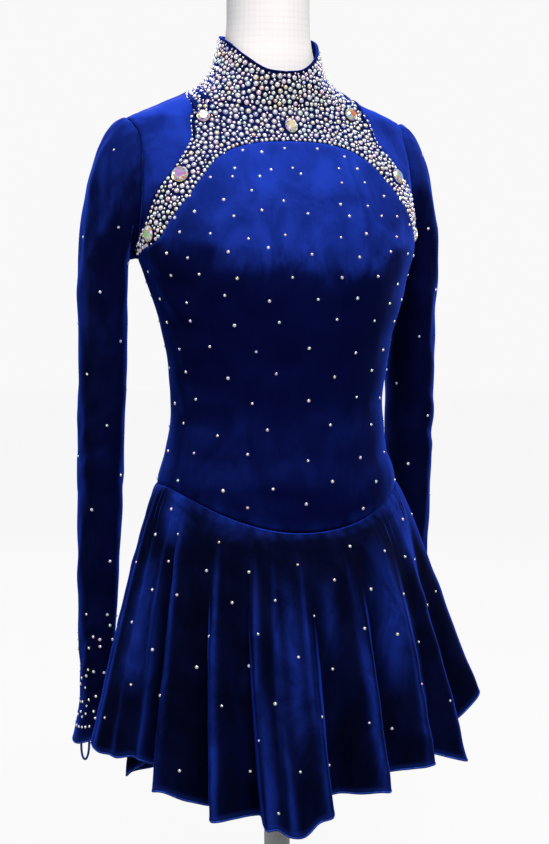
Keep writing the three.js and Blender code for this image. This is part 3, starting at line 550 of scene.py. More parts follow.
# ---- Finishes ----------------------------------------------------------------------------------
class Nodes:
    """Adds nodes to a tree. Every input is given as an output to join or as a value to set."""

    def __init__(self, tree):
        self.tree = tree

    def feed(self, socket, value):
        if hasattr(value, "is_output"):
            self.tree.links.new(value, socket)
        else:
            socket.default_value = (*value, 1) if socket.type == "RGBA" else value

    def add(self, kind, inputs=None, **settings):
        node = self.tree.nodes.new("ShaderNode" + kind)
        for key, value in settings.items():
            setattr(node, key, value)
        for key, value in (inputs or {}).items():
            self.feed(node.inputs[key], value)
        return node

    def place(self):
        return self.add("TexCoord").outputs["Object"]

    def axis(self, vector, letter):
        return self.add("SeparateXYZ", {"Vector": vector}).outputs[letter]

    def attribute(self, name, output="Fac"):
        return self.add("Attribute", attribute_name=name).outputs[output]

    def noise(self, place, scale, detail, roughness=0.5, distortion=0.0):
        inputs = {"Vector": place, "Scale": scale, "Detail": detail, "Roughness": roughness, "Distortion": distortion}
        return self.add("TexNoise", inputs).outputs["Fac"]

    def ramp(self, fac, stops, ease="LINEAR"):
        """A grey ramp through stops of place and tone."""
        node = self.add("ValToRGB", {"Fac": fac})
        node.color_ramp.interpolation = ease
        for element, (at, tone) in zip(node.color_ramp.elements, stops):
            element.position = at
            element.color = (tone, tone, tone, 1)
        return node.outputs["Color"]

    def between(self, value, low, high):
        """A soft step from 0 at low to 1 at high."""
        inputs = {"From Min": low, "From Max": high, "Value": value}
        return self.add("MapRange", inputs, interpolation_type="SMOOTHSTEP").outputs[0]

    def math(self, operation, *values):
        return self.add("Math", dict(enumerate(values)), operation=operation).outputs[0]

    def line(self, value, slope, start):
        """value * slope + start"""
        return self.math("MULTIPLY_ADD", value, slope, start)

    def times(self, first, *others):
        for other in others:
            first = self.math("MULTIPLY", first, other)
        return first

    def blend(self, fac, first, second, blend_type="MIX"):
        """Mixes two colours."""
        return self.add("Mix", {0: fac, 6: first, 7: second}, data_type="RGBA", blend_type=blend_type).outputs[2]

    def uneven(self, scale, roughness):
        """The outputs of the uneven finish."""
        return self.add("Group", {"Scale": scale, "Roughness": roughness}, node_tree=dust_group()).outputs

    def dress(self, shader, relief=None, **values):
        """Feeds the shader; a relief is its height, strength and distance."""
        if relief:
            height, strength, distance = relief
            bump = self.add("Bump", {"Strength": strength, "Distance": distance, "Height": height})
            values["Normal"] = bump.outputs[0]
        for label, value in values.items():
            self.feed(shader.inputs[label.replace("_", " ")], value)


def group(name, inputs, outputs, fill):
    """A shader node group, made once. Inputs are given as name and default; every socket is a number."""
    tree = bpy.data.node_groups.get(name)
    if tree:
        return tree
    tree = bpy.data.node_groups.new(name, "ShaderNodeTree")
    for label, default in inputs:
        socket = tree.interface.new_socket(label, in_out="INPUT", socket_type="NodeSocketFloat")
        socket.default_value = default
    for label in outputs:
        tree.interface.new_socket(label, in_out="OUTPUT", socket_type="NodeSocketFloat")
    source = tree.nodes.new("NodeGroupInput")
    result = tree.nodes.new("NodeGroupOutput")
    for label, socket in fill(Nodes(tree), source.outputs).items():
        tree.links.new(socket, result.inputs[label])
    return tree


def pile_group():
    """Brushed and crushed pile: a mask of its brushed patches, its height and its roughness."""
    def fill(n, given):
        place = n.place()
        drawn = n.add("Mapping", {"Scale": (1, 1, 0.45), "Vector": place}).outputs[0]
        cloud = n.noise(drawn, given["Patch scale"], 4, 0.62, 0.7)
        streak = n.noise(drawn, 260, 2, 0.6)
        grain = n.noise(place, 1500, 2, 0.7)
        patch = n.ramp(cloud, ((0.36, 0), (0.68, 1)), "EASE")
        mixed = n.line(streak, 0.35, n.times(patch, 0.8))
        brushed = n.times(n.line(grain, 0.3, n.math("SUBTRACT", mixed, 0.1)), given["Amount"])
        return {
            "Brushed": brushed,
            "Height": n.line(grain, 0.5, n.times(cloud, 1.2)),
            "Roughness": n.line(brushed, -0.18, 0.92),
        }

    return group("Velvet pile", (("Patch scale", 26.0), ("Amount", 1.0)), ("Brushed", "Height", "Roughness"), fill)


def dust_group():
    """Faint unevenness of a hard finish: a mask, a roughness and a height."""
    def fill(n, given):
        cloud = n.noise(n.place(), given["Scale"], 5, 0.65)
        mask = n.ramp(cloud, ((0.42, 0), (0.72, 1)))
        return {"Mask": mask, "Roughness": n.line(cloud, 0.22, given["Roughness"]), "Height": cloud}

    return group("Uneven finish", (("Scale", 60.0), ("Roughness", 0.3)), ("Mask", "Roughness", "Height"), fill)


def material(name, fill, **settings):
    """A material made once; fill gets its node builder, its Principled BSDF and the settings."""
    made = bpy.data.materials.get(name)
    if not made:
        made = bpy.data.materials.new(name)
        made.use_nodes = True
        fill(Nodes(made.node_tree), made.node_tree.nodes["Principled BSDF"], **settings)
    return made


def toned(colour, tones):
    """A colour with each part made deeper by its own share."""
    return tuple(part * tone for part, tone in zip(colour, tones))


def velvet(n, shader, amount=1.0, patch=26.0, sheen=0.4, lit=1.0, rim=(0.42, 0.97), deep=1.0, hem=False):
    """Deep pile with painted light where it tilts upwards and in its painted highlights, a painted sheen at its edges,
    painted shade along its seams, and a painted highlight along a hem.
    """
    pile = n.add("Group", {"Patch scale": patch, "Amount": amount}, node_tree=pile_group()).outputs
    brushed = pile["Brushed"]
    tilt = n.axis(n.add("NewGeometry").outputs["Normal"], "Z")
    # Painted light: pile that tilts upwards, and more so on the shoulders, is painted in the lit colour, fully above
    # the chest and little lower down, unevenly with the brushed patches.
    above = n.line(n.between(n.axis(n.place(), "Z"), 0.6, 0.7), 0.86, 0.14)
    leaning = n.between(n.line(brushed, 0.16, tilt), 0.0, 0.4)
    upturned = n.between(tilt, 0.42, 0.95)
    painted_light = n.times(leaning, above, n.line(brushed, 0.34 * lit, 0.28 * lit))
    painted_light = n.math("ADD", painted_light, n.times(upturned, above, 0.7 * lit))
    # The piece's own painted highlights add to the painted light.
    painted_light = n.math("ADD", painted_light, n.times(n.attribute("painted_light"), n.line(brushed, 0.5, 0.14)))
    painted_light = n.line(brushed, 0.03, painted_light)
    # deep darkens the upright pile: the darker copies of the velvet are painted shade.
    colour = n.blend(painted_light, toned(colours().velvet, (deep,) * 3), colours().velvet_lit)
    # Painted sheen: the pile is painted lighter where the surface is seen edge-on.
    painted_sheen_mask = n.ramp(n.add("LayerWeight", {"Blend": 0.5}).outputs["Facing"], ((rim[0], 0), (rim[1], 1)), "EASE")
    colour = n.blend(n.times(painted_sheen_mask, n.line(brushed, 0.5, 0.55)), colour, colours().painted_sheen_colour)
    # Painted shade along the seams, near black in their grooves.
    colour = n.blend(n.times(n.attribute("seam"), 0.28), colour, (0.001, 0.002, 0.03))
    if hem:
        # Painted highlight along the hem.
        colour = n.blend(n.times(n.attribute("edge"), 0.35), colour, (0.02, 0.07, 0.6))
    n.dress(shader, (pile["Height"], 0.35, 0.0006), Base_Color=colour, Roughness=pile["Roughness"],
            Sheen_Weight=sheen, Sheen_Roughness=0.28, Sheen_Tint=colours().sheen, Specular_IOR_Level=0.03)


def rolled_hem(n, shader):
    """Rolled edge of the velvet, painted lighter as a highlight."""
    pile = n.add("Group", {"Patch scale": 120, "Amount": 1}, node_tree=pile_group()).outputs
    # The hem's lighter blue is a painted highlight, uneven with the brushed patches.
    colour = n.blend(pile["Brushed"], (0.005, 0.018, 0.2), (0.02, 0.08, 0.55))
    n.dress(shader, (pile["Height"], 0.5, 0.0004), Base_Color=colour, Roughness=pile["Roughness"],
            Sheen_Weight=0.6, Sheen_Roughness=0.4, Sheen_Tint=(0.12, 0.3, 1), Specular_IOR_Level=0.2)


def small_stones(n, shader):
    """Small foiled glass stones, tinted one by one, with painted glints and a painted glow."""
    # Painted glints: spots of near white over the tints.
    painted_glint = n.ramp(n.noise(n.place(), 420, 1), ((0.4, 0), (0.66, 0.45)))
    colour = n.blend(painted_glint, n.attribute("tint", "Color"), (1, 0.98, 0.95))
    # The emission is a painted glow.
    n.dress(shader, Base_Color=colour, Emission_Color=colour, Roughness=n.uneven(300, 0.06)["Roughness"],
            Metallic=0.8, Emission_Strength=0.36, Coat_Weight=0.6, Coat_Roughness=0.03)


def large_crystals(n, shader):
    """Large foiled crystals: each facet is painted with its own flash of colour, with painted glints and a painted
    glow.
    """
    # Painted glints: cells of colour laid over the facets' painted flashes.
    cells = n.add("TexVoronoi", {"Scale": 330, "Vector": n.place()}, feature="F1").outputs["Color"]
    colour = n.blend(0.35, n.attribute("tint", "Color"), cells, "OVERLAY")
    # The emission is a painted glow.
    n.dress(shader, Base_Color=colour, Emission_Color=colour, Roughness=n.uneven(200, 0.02)["Roughness"],
            Metallic=0.75, Emission_Strength=0.3, Coat_Weight=1.0, Coat_Roughness=0.02)


def covered_elastic(n, shader):
    """Round covered elastic with fine ribs along its length."""
    ribs = n.add("TexWave", {"Scale": 260, "Distortion": 1.2, "Vector": n.place()}, bands_direction="Z").outputs["Fac"]
    colour = n.blend(ribs, (0.004, 0.012, 0.12), (0.02, 0.06, 0.42))
    n.dress(shader, (ribs, 0.5, 0.0002), Base_Color=colour, Roughness=0.75, Sheen_Weight=0.4, Sheen_Tint=(0.1, 0.25, 1))


def moulded_button(n, shader):
    """Glossy moulded blue."""
    uneven = n.uneven(180, 0.16)
    colour = n.blend(uneven["Mask"], (0.008, 0.025, 0.3), (0.012, 0.04, 0.4))
    n.dress(shader, Base_Color=colour, Roughness=uneven["Roughness"], Coat_Weight=0.6, Coat_Roughness=0.08)


def knitted_cover(n, shader):
    """White knitted jersey: fine wales and courses, pulled a little uneven."""
    centred = n.add("Mapping", {"Location": (0, -0.026, 0), "Vector": n.place()}).outputs[0]
    part = n.add("SeparateXYZ", {"Vector": centred}).outputs
    around = n.math("ARCTAN2", part["X"], part["Y"])
    wale, course = (
        n.math("POWER", n.math("ABSOLUTE", n.math("SINE", n.times(value, count))), 0.3)
        for value, count in ((around, 22), (part["Z"], 470))
    )
    knit = n.times(wale, course)
    uneven = n.uneven(40, 0.78)
    base = colours().cover
    colour = n.blend(n.ramp(knit, ((0.45, 0), (0.8, 1))), toned(base, (0.975, 0.945, 0.95)), base)
    colour = n.blend(n.times(uneven["Mask"], 0.25), colour, toned(base, (0.92,) * 3))
    n.dress(shader, (knit, 0.16, 0.0005), Base_Color=colour, Roughness=uneven["Roughness"],
            Sheen_Weight=0.25, Specular_IOR_Level=0.25)


def satin_paint(n, shader):
    """White satin paint, a little rougher where it has been handled."""
    uneven = n.uneven(22, 0.26)
    base = colours().paint
    colour = n.blend(n.times(uneven["Mask"], 0.3), base, toned(base, (0.86,) * 3))
    n.dress(shader, (uneven["Height"], 0.08, 0.0005), Base_Color=colour, Roughness=uneven["Roughness"])


# ---- Pieces ------------------------------------------------------------------------------------
SURFACES = {}  # surface and normals of each cloth piece, for the stones that lie on it

# What each piece is cut to: width and length of the cloth, area, how it is held and on what.
CUTS = {
    "bodice_front": (0.50, 0.42, 0.13, "stretched", ("form_torso",)),
    "yoke": (0.58, 0.12, 0.0225, "stretched", ("form_torso",)),
    "shoulder": (0.16, 0.09, 0.0075, "stretched", ("form_torso",)),
    "back": (0.22, 0.47, 0.066, "stretched", ("form_torso",)),
    "collar": (0.36, 0.06, 0.0155, "stretched", ("form_torso",)),
    "sleeve": (0.30, 0.70, 0.125, "hung", ("form_torso",)),
    "skirt_front": (1.10, 0.34, 0.20, "hung", ("bodice_front",)),
    "skirt_back": (1.05, 0.34, 0.19, "hung", ("back_L", "back_R")),
}


def cut(piece, pattern):
    """Looks up what a piece of cloth is cut to, and does nothing more with it."""
    width, length, area, held, rests_on = CUTS[pattern]
    list(rests_on)


def cloth(name, node, surface, outward, masks, finish, slot="velvet", closed=False):
    """A sheet on a grid of points with its wall on the inside; the grid is kept for the stones."""
    normals = facing(surface, closed)
    turn_over = (normals * outward).sum() < 0
    if turn_over:
        normals = -normals
    SURFACES[name] = (surface, normals)
    piece = finished(name, grid_mesh(name, surface, closed, masks, turn_over), finish, slot, node)
    wall = piece.modifiers.new("Wall", "SOLIDIFY")
    wall.thickness = sizes().cloth
    wall.offset = -1
    return piece


def basis(foot, normal):
    """A matrix in metres that stands a shape made around +Z on a point of a surface."""
    normal = Vector(normal).normalized()
    upright = Vector((0, 0, 1)) - normal * normal.z
    upright.normalize()
    across_way = upright.cross(normal)
    turn = Matrix((across_way, upright, normal)).transposed().to_4x4()
    return Matrix.Translation(Vector(foot) * MM) @ turn


def painted_highlight_beside_waist(surface, turn):
    """Mask of the painted highlight beside the waist seam."""
    away = border_distance(surface, (0, 1, 0, 0))
    uneven = 0.5 + 0.5 * np.sin(turn * 0.21 + 1) * np.sin(turn * 0.47)
    return 0.5 * bell(away - 3, 7) * uneven


# Rows of cloth in each panel.
BODICE_ROWS, SHOULDER_ROWS, BACK_ROWS, YOKE_ROWS, COLLAR_ROWS, COLLAR_COLUMNS = 116, 44, 110, 40, 26, 180
BESIDE_SEAM = 16  # columns of the bodice that close up beside each side seam
# Binding of the collar: radius, and how far it sits in from the outer face. A rolled hem sits in by HEM_IN.
BINDING_RADIUS, BINDING_IN = 1.25, 0.7
HEM_IN = 0.8


class DRESS_OT_bodice(bpy.types.Operator):
    """Front bodice, from the arch under the yoke to the dropped waist"""
    bl_idname = "dress.bodice"
    bl_label = "Front bodice"

    def execute(self, context):
        turn = np.linspace(90, -90, len(YOKE_BOTTOM))
        # The side seams fall from the underarms, and the columns beside them close up evenly.
        turn[:BESIDE_SEAM] = np.linspace(UNDERARM[0], turn[BESIDE_SEAM], BESIDE_SEAM + 1)[:-1]
        turn[-BESIDE_SEAM:] = -turn[:BESIDE_SEAM][::-1]
        waist = np.stack([turn, waist_seam(turn)], -1)
        surface, normals = panel(YOKE_BOTTOM, waist, BODICE_ROWS)
        surface, seam = sewn(surface, normals, on_figure(BODICE_CREASES), 3)
        masks = {"seam": seam, "painted_light": painted_highlight_beside_waist(surface, turn)}
        piece = cloth("front_bodice", "bodice_front", surface, normals, masks, material("plain_pile", velvet))
        cut(piece, "bodice_front")
        return {"FINISHED"}


class DRESS_OT_shoulders(bpy.types.Operator):
    """Front shoulder panels, between the yoke, the armhole and the shoulder seam"""
    bl_idname = "dress.shoulders"
    bl_label = "Shoulder panels"

    def execute(self, context):
        for side, flip in (("L", 1), ("R", -1)):
            surface, normals = panel(YOKE_OUTER_SIDE * (flip, 1), ARMHOLE_FRONT * (flip, 1), SHOULDER_ROWS)
            seam_line = figure(90 * flip, np.linspace(YOKE_CORNER, SHOULDER_TIP, SHOULDER_ROWS + 1))
            drawn = np.linspace(0, 1, len(YOKE_OUTER_SIDE))[None, :, None] ** 6
            surface = settle(surface + (seam_line - surface[:, -1])[:, None] * drawn)
            surface, seam = sewn(surface, normals, on_figure(SHOULDER_CREASES, flip), 11 + flip)
            finish = material("plain_pile", velvet)
            piece = cloth(f"shoulder_{side}", f"shoulder_front_{side}", surface, normals, {"seam": seam}, finish)
            cut(piece, "shoulder")
        return {"FINISHED"}


class DRESS_OT_backs(bpy.types.Operator):
    """Back bodice halves, with a centre-back seam"""
    bl_idname = "dress.backs"
    bl_label = "Back bodice"

    def execute(self, context):
        turn = np.linspace(UNDERARM[0], 180, len(BACK_TOP))
        waist = np.stack([turn, waist_seam(turn)], -1)
        for side, flip in (("L", 1), ("R", -1)):
            surface, normals = panel(BACK_TOP * (flip, 1), waist * (flip, 1), BACK_ROWS, 1.7, BACK_BOW)
            surface, seam = sewn(surface, normals, on_figure(BACK_CREASES, flip), 21 + flip)
            finish = material("plain_pile", velvet)
            piece = cloth(f"back_{side}_panel", f"back_{side}", surface, normals, {"seam": seam}, finish)
            cut(piece, "back")
        return {"FINISHED"}


def collar_surface(rows, columns):
    """The stand collar, from its upper edge to the neck seam, open at centre back."""
    turn = np.linspace(-180, 180, columns + 1)
    edge = spline(COLLAR_TOP, 60)
    top = np.stack([turn, np.interp(np.abs(turn), edge[:, 0], edge[:, 1])], -1)
    foot = np.stack([turn, neck_seam(turn)], -1)
    return panel(top, foot, rows, stand_off=COLLAR_STAND_OFF)


class DRESS_OT_yoke_and_collar(bpy.types.Operator):
    """Yoke and stand collar of velvet darkened with painted shade, and the binding of the collar's edge"""
    bl_idname = "dress.yoke_and_collar"
    bl_label = "Yoke and collar"

    def execute(self, context):
        surface, normals = panel(YOKE_TOP, YOKE_BOTTOM, YOKE_ROWS)
        surface, seam = sewn(surface, normals, (), 31, undulation=0.25)
        # A darker copy of the velvet under the stones: painted shade, with little painted light.
        finish = material("stoned_pile", velvet, amount=0.6, patch=60, sheen=0.2, lit=0.2, deep=0.5)
        piece = cloth("yoke_cloth", "yoke", surface, normals, {"seam": seam}, finish, "stoned_velvet")
        cut(piece, "yoke")
        surface, normals = collar_surface(COLLAR_ROWS, COLLAR_COLUMNS)
        surface, seam = sewn(surface, normals, (), 33, (0, 1, 1, 1), 0.25)
        piece = cloth("collar_cloth", "collar", surface, normals, {"seam": seam}, finish, "stoned_velvet")
        path = surface[0] - normals[0] * BINDING_IN
        ends = surface[1:, [0, -1]] - normals[1:, [0, -1]] * BINDING_IN
        path = np.concatenate([ends[::-1, 0][2:], path, ends[:, 1][:-2]])
        # The binding takes a darker copy of the velvet: painted shade.
        finish = material("binding_pile", velvet, lit=0.3, deep=0.5)
        binding = finished("collar_binding", tube("collar_binding", path, BINDING_RADIUS, 10), finish, "velvet")
        cut(piece, "collar")
        return {"FINISHED"}


def through(rings, at, where):
    """Smooth surface through rings that stand at unequal places."""
    step = np.diff(at)[:, None, None]
    secant = np.diff(rings, axis=0) / step
    between = (step[1:] * secant[:-1] + step[:-1] * secant[1:]) / (step[:-1] + step[1:])
    slope = np.concatenate([secant[:1], between, secant[-1:]])
    i = np.clip(np.searchsorted(at, where, side="right") - 1, 0, len(at) - 2)
    t = ((where - at[i]) / np.diff(at)[i])[:, None, None]
    rise = rings[i] + (rings[i + 1] - rings[i]) * t * t * (3 - 2 * t)
    return rise + step[i] * t * (1 - t) * ((1 - t) * slope[i] - t * slope[i + 1])


def ring_in(inner, outer, back, depth, angle):
    """Points of an oval ring between an inner and an outer end, in the plane of the ring."""
    middle, axis = (inner + outer) / 2, (outer - inner) / 2
    points = middle + np.cos(angle)[:, None] * axis
    points[:, 1] = back - depth * np.sin(angle)
    return points


def sleeve_rings(columns):
    """Rings of the left sleeve from the armhole to the cuff."""
    degrees = np.linspace(0, 360, columns + 1)
    angle = np.radians(degrees)
    rim = figure(*armhole(degrees).T)
    rim = rim - unit(slope_of(rim)) * sizes().cloth / MM / 2
    top, low = figure(90, SHOULDER_TIP), figure(*UNDERARM)
    inwards = np.array([top[0], ARMHOLE_MIDDLE, (ARMHOLE_LOW + SHOULDER_TIP) / 2]) - rim
    inwards[:, 0] = 0
    rim = rim + unit(inwards) * SEAM_GAP * 0.5
    bend = rim[:, 0] - ring_in(low, top, ARMHOLE_MIDDLE, ARMHOLE_DEPTH, angle)[:, 0]
    rings = [rim]
    for number, (out, up, depth, skew) in enumerate(SLEEVE_HEAD):
        share = (number + 1) / (len(SLEEVE_HEAD) + 1)
        inner = np.array([UNDERARM_OUT, 0, ARMHOLE_LOW + (UNDERARM_UP - ARMHOLE_LOW) * share])
        back = ARMHOLE_MIDDLE + (SLEEVE_ARM[0][2] - ARMHOLE_MIDDLE) * share
        ring = ring_in(inner, np.array([out, 0, up]), back, depth, angle)
        ring[:, 0] += bend * skew
        rings.append(ring)
    for up, out, back, half, depth, point in SLEEVE_ARM:
        lower = point * np.maximum(0, np.cos(angle)) ** 2
        rings.append(np.stack([out + half * np.cos(angle), back - depth * np.sin(angle), up - lower], -1))
    rings = np.array(rings)
    rings[:, -1] = rings[:, 0]
    return rings


# Fullness at the sleeve's head: lift, place below the armhole, width; and its gathers: lift, count, place, width.
HEAD_PUFF, HEAD_GATHERS = (0.6, 12, 9), (0.5, 22, 9, 8)


def sleeve_surface(side):
    """The sleeve's surface, the way outwards at each point, and its masks."""
    columns, rows = 84, 190
    rings = sleeve_rings(columns)
    gaps = np.linalg.norm(np.diff(rings, axis=0), axis=-1)
    at = np.concatenate([[0], np.cumsum(0.5 * gaps[:, 0] + 0.5 * gaps.mean(1))])
    where = at[-1] * np.linspace(0, 1, rows + 1) ** 1.08
    surface = through(rings, at, where)
    normals = facing(surface, closed=True)
    middle = surface.mean(1, keepdims=True)
    if (normals * (surface - middle)).sum() < 0:
        normals = -normals

    def spot(degrees, share):
        row = int(np.searchsorted(where, share * at[-1]))
        return surface[min(row, rows), int(degrees % 360 / 360 * columns)]

    # The right sleeve's creases lie a little differently.
    change = 0 if side > 0 else 1
    creases = [
        (spot(a + 9 * change, b + 0.012 * change), spot(c - 7 * change, d + 0.008 * change), width, lift)
        for a, b, c, d, width, lift in SLEEVE_CREASES
    ]
    along = where[:, None]
    angle = np.linspace(0, 2 * np.pi, columns + 1)[None]
    calm = 1 - bell(along, 8)
    lift = (pressed(surface, creases) + rumple(surface, 52, 0.75, 41 + side)) * calm
    upper = np.clip(np.cos(angle), 0, 1) ** 0.5
    lifted, place, width = HEAD_PUFF
    puff = lifted * bell(along - place, width) * upper
    lifted, count, place, width = HEAD_GATHERS
    gathers = lifted * np.sin(angle * count) * bell(along - place, width) * upper
    seam = np.broadcast_to(bell(along, sizes().seam_width / MM), lift.shape)
    surface = surface + normals * (lift + puff + gathers - seam)[..., None]
    surface[:, -1] = surface[:, 0]
    # The edge mask carries the painted highlight along the cuff.
    edge = np.broadcast_to(bell(at[-1] - along, 3), lift.shape)
    flip = np.array([side, 1, 1])
    return surface * flip, (surface - middle) * flip, {"seam": seam, "edge": edge}


class DRESS_OT_sleeves(bpy.types.Operator):
    """Long set-in sleeves with a flared hand point, and the rolled hems of their cuffs"""
    bl_idname = "dress.sleeves"
    bl_label = "Sleeves"

    def execute(self, context):
        for name, side in (("L", 1), ("R", -1)):
            surface, outward, masks = sleeve_surface(side)
            # The sleeves take a darker copy of the velvet, painted shade, with less painted light.
            finish = material("hemmed_pile", velvet, lit=0.55, deep=0.55, hem=True)
            piece = cloth(f"sleeve_{name}_cloth", f"sleeve_{name}", surface, outward, masks, finish, closed=True)
            rim = surface[-1, :-1] - SURFACES[piece.name][1][-1, :-1] * HEM_IN
            hem = tube(f"cuff_hem_{name}", rim, sizes().hem / MM * 0.9, closed=True)
            hem = finished(f"cuff_hem_{name}", hem, material("rolled_hem", rolled_hem), "velvet")
            cut(piece, "sleeve")
        return {"FINISHED"}


def loop_path(side):
    """Points of a finger loop, from one foot on the cuff to the other."""
    up, out, back, half, depth, point = SLEEVE_ARM[-1]

    def foot(degrees):
        angle = math.radians(degrees)
        wall = sizes().cloth / MM / 2
        x, y = out + (half - wall) * math.cos(angle), back - (depth - wall) * math.sin(angle)
        return np.array([side * x, y, up - point * math.cos(angle) ** 2 - SEAM_GAP])

    spread = math.degrees(LOOP_HALF / depth)
    start, finish = foot(LOOP_ANGLE - spread), foot(LOOP_ANGLE + spread)
    t = np.linspace(0, 1, 25)[:, None]
    path = start + (finish - start) * (0.5 - 0.5 * np.cos(np.pi * t))
    path[:, 2] -= LOOP_DROP * np.sin(np.pi * t[:, 0]) ** 0.8
    return path


class DRESS_OT_finger_loops(bpy.types.Operator):
    """Loops of thin elastic that hang from the cuffs and go round a finger"""
    bl_idname = "dress.finger_loops"
    bl_label = "Finger loops"

    def execute(self, context):
        for name, side in (("L", 1), ("R", -1)):
            path = loop_path(side) * MM
            line = bpy.data.curves.new(f"loop_{name}", "CURVE")
            line.dimensions = "3D"
            line.bevel_depth = LOOP_RADIUS * MM
            line.bevel_resolution = 3
            line.use_fill_caps = True
            strand = line.splines.new("POLY")
            strand.points.add(len(path) - 1)
            strand.points.foreach_set("co", np.c_[path, np.ones(len(path))].reshape(-1))
            finish = material("covered_elastic", covered_elastic)
            piece = finished(f"loop_{name}", line, finish, "elastic", f"finger_loop_{name}")
            tuple(path[0])
        return {"FINISHED"}


# ---- Skirt -------------------------------------------------------------------------------------
# Columns of cloth from one fold to the next, rows of the fall, and how they crowd towards the waist.
FOLD_COLUMNS, FALL_ROWS, FALL_CROWDING = 20, 96, 1.15
# How much steeper than a wave a fold's sides are, how much deeper a valley is cut, share of the creases' lift.
STEEPER, VALLEY, CREASE_SHARE = 0.8, 1.35, 0.6
FALL = 320  # length of the fall


def skirt_columns(first, last):
    """Turn, reach and height of the hem at every column between two of its folds."""
    columns = []
    for here, after in zip(FOLDS[first:last], FOLDS[first + 1:last + 1]):
        share = np.arange(FOLD_COLUMNS) / FOLD_COLUMNS
        wave = 0.5 - 0.5 * np.cos(np.pi * share)
        wave += STEEPER * (wave * wave * (3 - 2 * wave) - wave)
        here, after = np.array(here, float), np.array(after, float)
        columns.append(here + (after - here) * np.stack([share, wave, wave], -1))
    return np.concatenate([*columns, [FOLDS[last]]]).T


def skirt_relief(turn, fall, seam):
    """How far small folds, wrinkles, gathers and the seam move the cloth, in that order."""
    for middle, begin, width, high in SKIRT_CREASES:
        share = np.clip((fall - begin) / (1 - begin), 0, 1)
        yield CREASE_SHARE * high * share ** 0.8 * bell(apart(turn, middle), width * (0.85 + 0.4 * fall))
    for middle, spread, drop, slant, high in WAIST_WRINKLES:
        away = turn - middle
        yield high * bell(away, spread) * bell(fall * FALL - drop - slant * away, 2.6)
    gather = 0.45 * np.sin(turn * 0.97 + 2 * np.sin(turn * 0.31)) + 0.2 * np.sin(turn * 1.9 + 1)
    yield gather * bell(fall - 0.07, 0.06)
    yield -seam * (sizes().seam_depth / MM)


def skirt_painted_highlights(turn, fall):
    """Mask of painted highlights: under the waist seam, along the ridges and in the places of the table."""
    # A painted highlight under the waist seam, then painted highlights along the high ridges and in the table's places.
    painted_light = 0.5 * bell(fall * FALL - 2.5, 5) * (0.5 + 0.5 * np.sin(turn * 0.33) * np.sin(turn * 0.71 + 2))
    broken = 0.65 + 0.35 * np.sin(turn * 0.9 + 9 * fall + 2 * np.sin(turn))
    crest = 0.75 * np.clip((fall - 0.08) / 0.25, 0, 1) * broken
    for middle, reach, _ in FOLDS:
        painted_light = painted_light + (reach > SKIRT_MEAN + 10) * crest * bell(apart(turn, middle), 1.3)
    for middle, begin, end, width, strength in SKIRT_PAINTED_HIGHLIGHTS:
        share = np.clip((fall - begin) / (end - begin), 0, 1)
        painted_light = painted_light + strength * np.sin(np.pi * share) ** 1.2 * bell(apart(turn, middle), width)
    return painted_light


def skirt_surface(first, last):
    """The skirt between two of its folds, from the waist seam to the hem, with its masks."""
    turn, reach, low = skirt_columns(first, last)
    fall = (np.linspace(0, 1, FALL_ROWS + 1) ** FALL_CROWDING)[:, None]
    top = figure(turn, waist_seam(turn))
    start = np.hypot(top[:, 0], top[:, 1])
    seam_heading = np.arctan2(top[:, 0], -top[:, 1])
    swing = np.radians(turn) - seam_heading
    heading = seam_heading + np.arctan2(np.sin(swing), np.cos(swing)) * fall
    growth = FOLD_GROWTH + 0.22 * np.sin(turn * 0.11 + 1) + 0.12 * np.sin(turn * 0.37)
    depth = np.where(reach > SKIRT_MEAN, 1.0, VALLEY)
    out = start + (SKIRT_MEAN - start) * fall ** SKIRT_FLARE + depth * (reach - SKIRT_MEAN) * fall ** growth
    seam = bell(fall * FALL, sizes().seam_width / MM)
    for lift in skirt_relief(turn, fall, seam):
        out = out + lift
    flutter = 1.4 * np.sin(turn * 0.31 + 1) + 0.5 * np.sin(turn * 0.83)
    up = top[:, 2] + (low - top[:, 2]) * fall + flutter * fall ** 6
    surface = np.stack([out * np.sin(heading), -out * np.cos(heading), up], -1)
    calm = np.clip(fall * 6, 0, 1) * np.clip(np.minimum(turn - turn[0], turn[-1] - turn) / 6, 0, 1)
    surface[..., :2] *= 1 + (rumple(surface, 70, 0.9, 55) * calm / 190)[..., None]
    # The edge mask carries the painted highlight along the hem.
    edge = bell((1 - fall) * FALL, 3.5)
    return surface, {"seam": seam * 0.15, "edge": edge, "painted_light": skirt_painted_highlights(turn, fall)}


class DRESS_OT_skirt(bpy.types.Operator):
    """Full skirt in a front and a back, with its folds and its rolled hem"""
    bl_idname = "dress.skirt"
    bl_label = "Skirt"

    def execute(self, context):
        left_side = [row[0] for row in FOLDS].index(90)
        rims, pieces = [], []
        for name, first, last in (("front", 0, left_side), ("back", left_side, len(FOLDS) - 1)):
            surface, masks = skirt_surface(first, last)
            # The skirt takes a far darker copy of the velvet, painted shade, with little painted light and a narrower
            # painted sheen.
            finish = material("skirt_pile", velvet, sheen=0.2, lit=0.18, rim=(0.5, 0.95), deep=0.14, hem=True)
            piece = cloth(f"skirt_{name}_cloth", f"skirt_{name}", surface, surface * (1, 1, 0), masks, finish)
            normals = SURFACES[piece.name][1]
            rims.append((surface[-1] - normals[-1] * HEM_IN)[:-1])
            pieces.append(piece)
        hem = tube("skirt_hem", np.concatenate(rims), sizes().hem / MM, closed=True)
        hem = finished("skirt_hem", hem, material("rolled_hem", rolled_hem), "velvet")
        cut(pieces[0], "skirt_front")
        cut(pieces[1], "skirt_back")
        return {"FINISHED"}


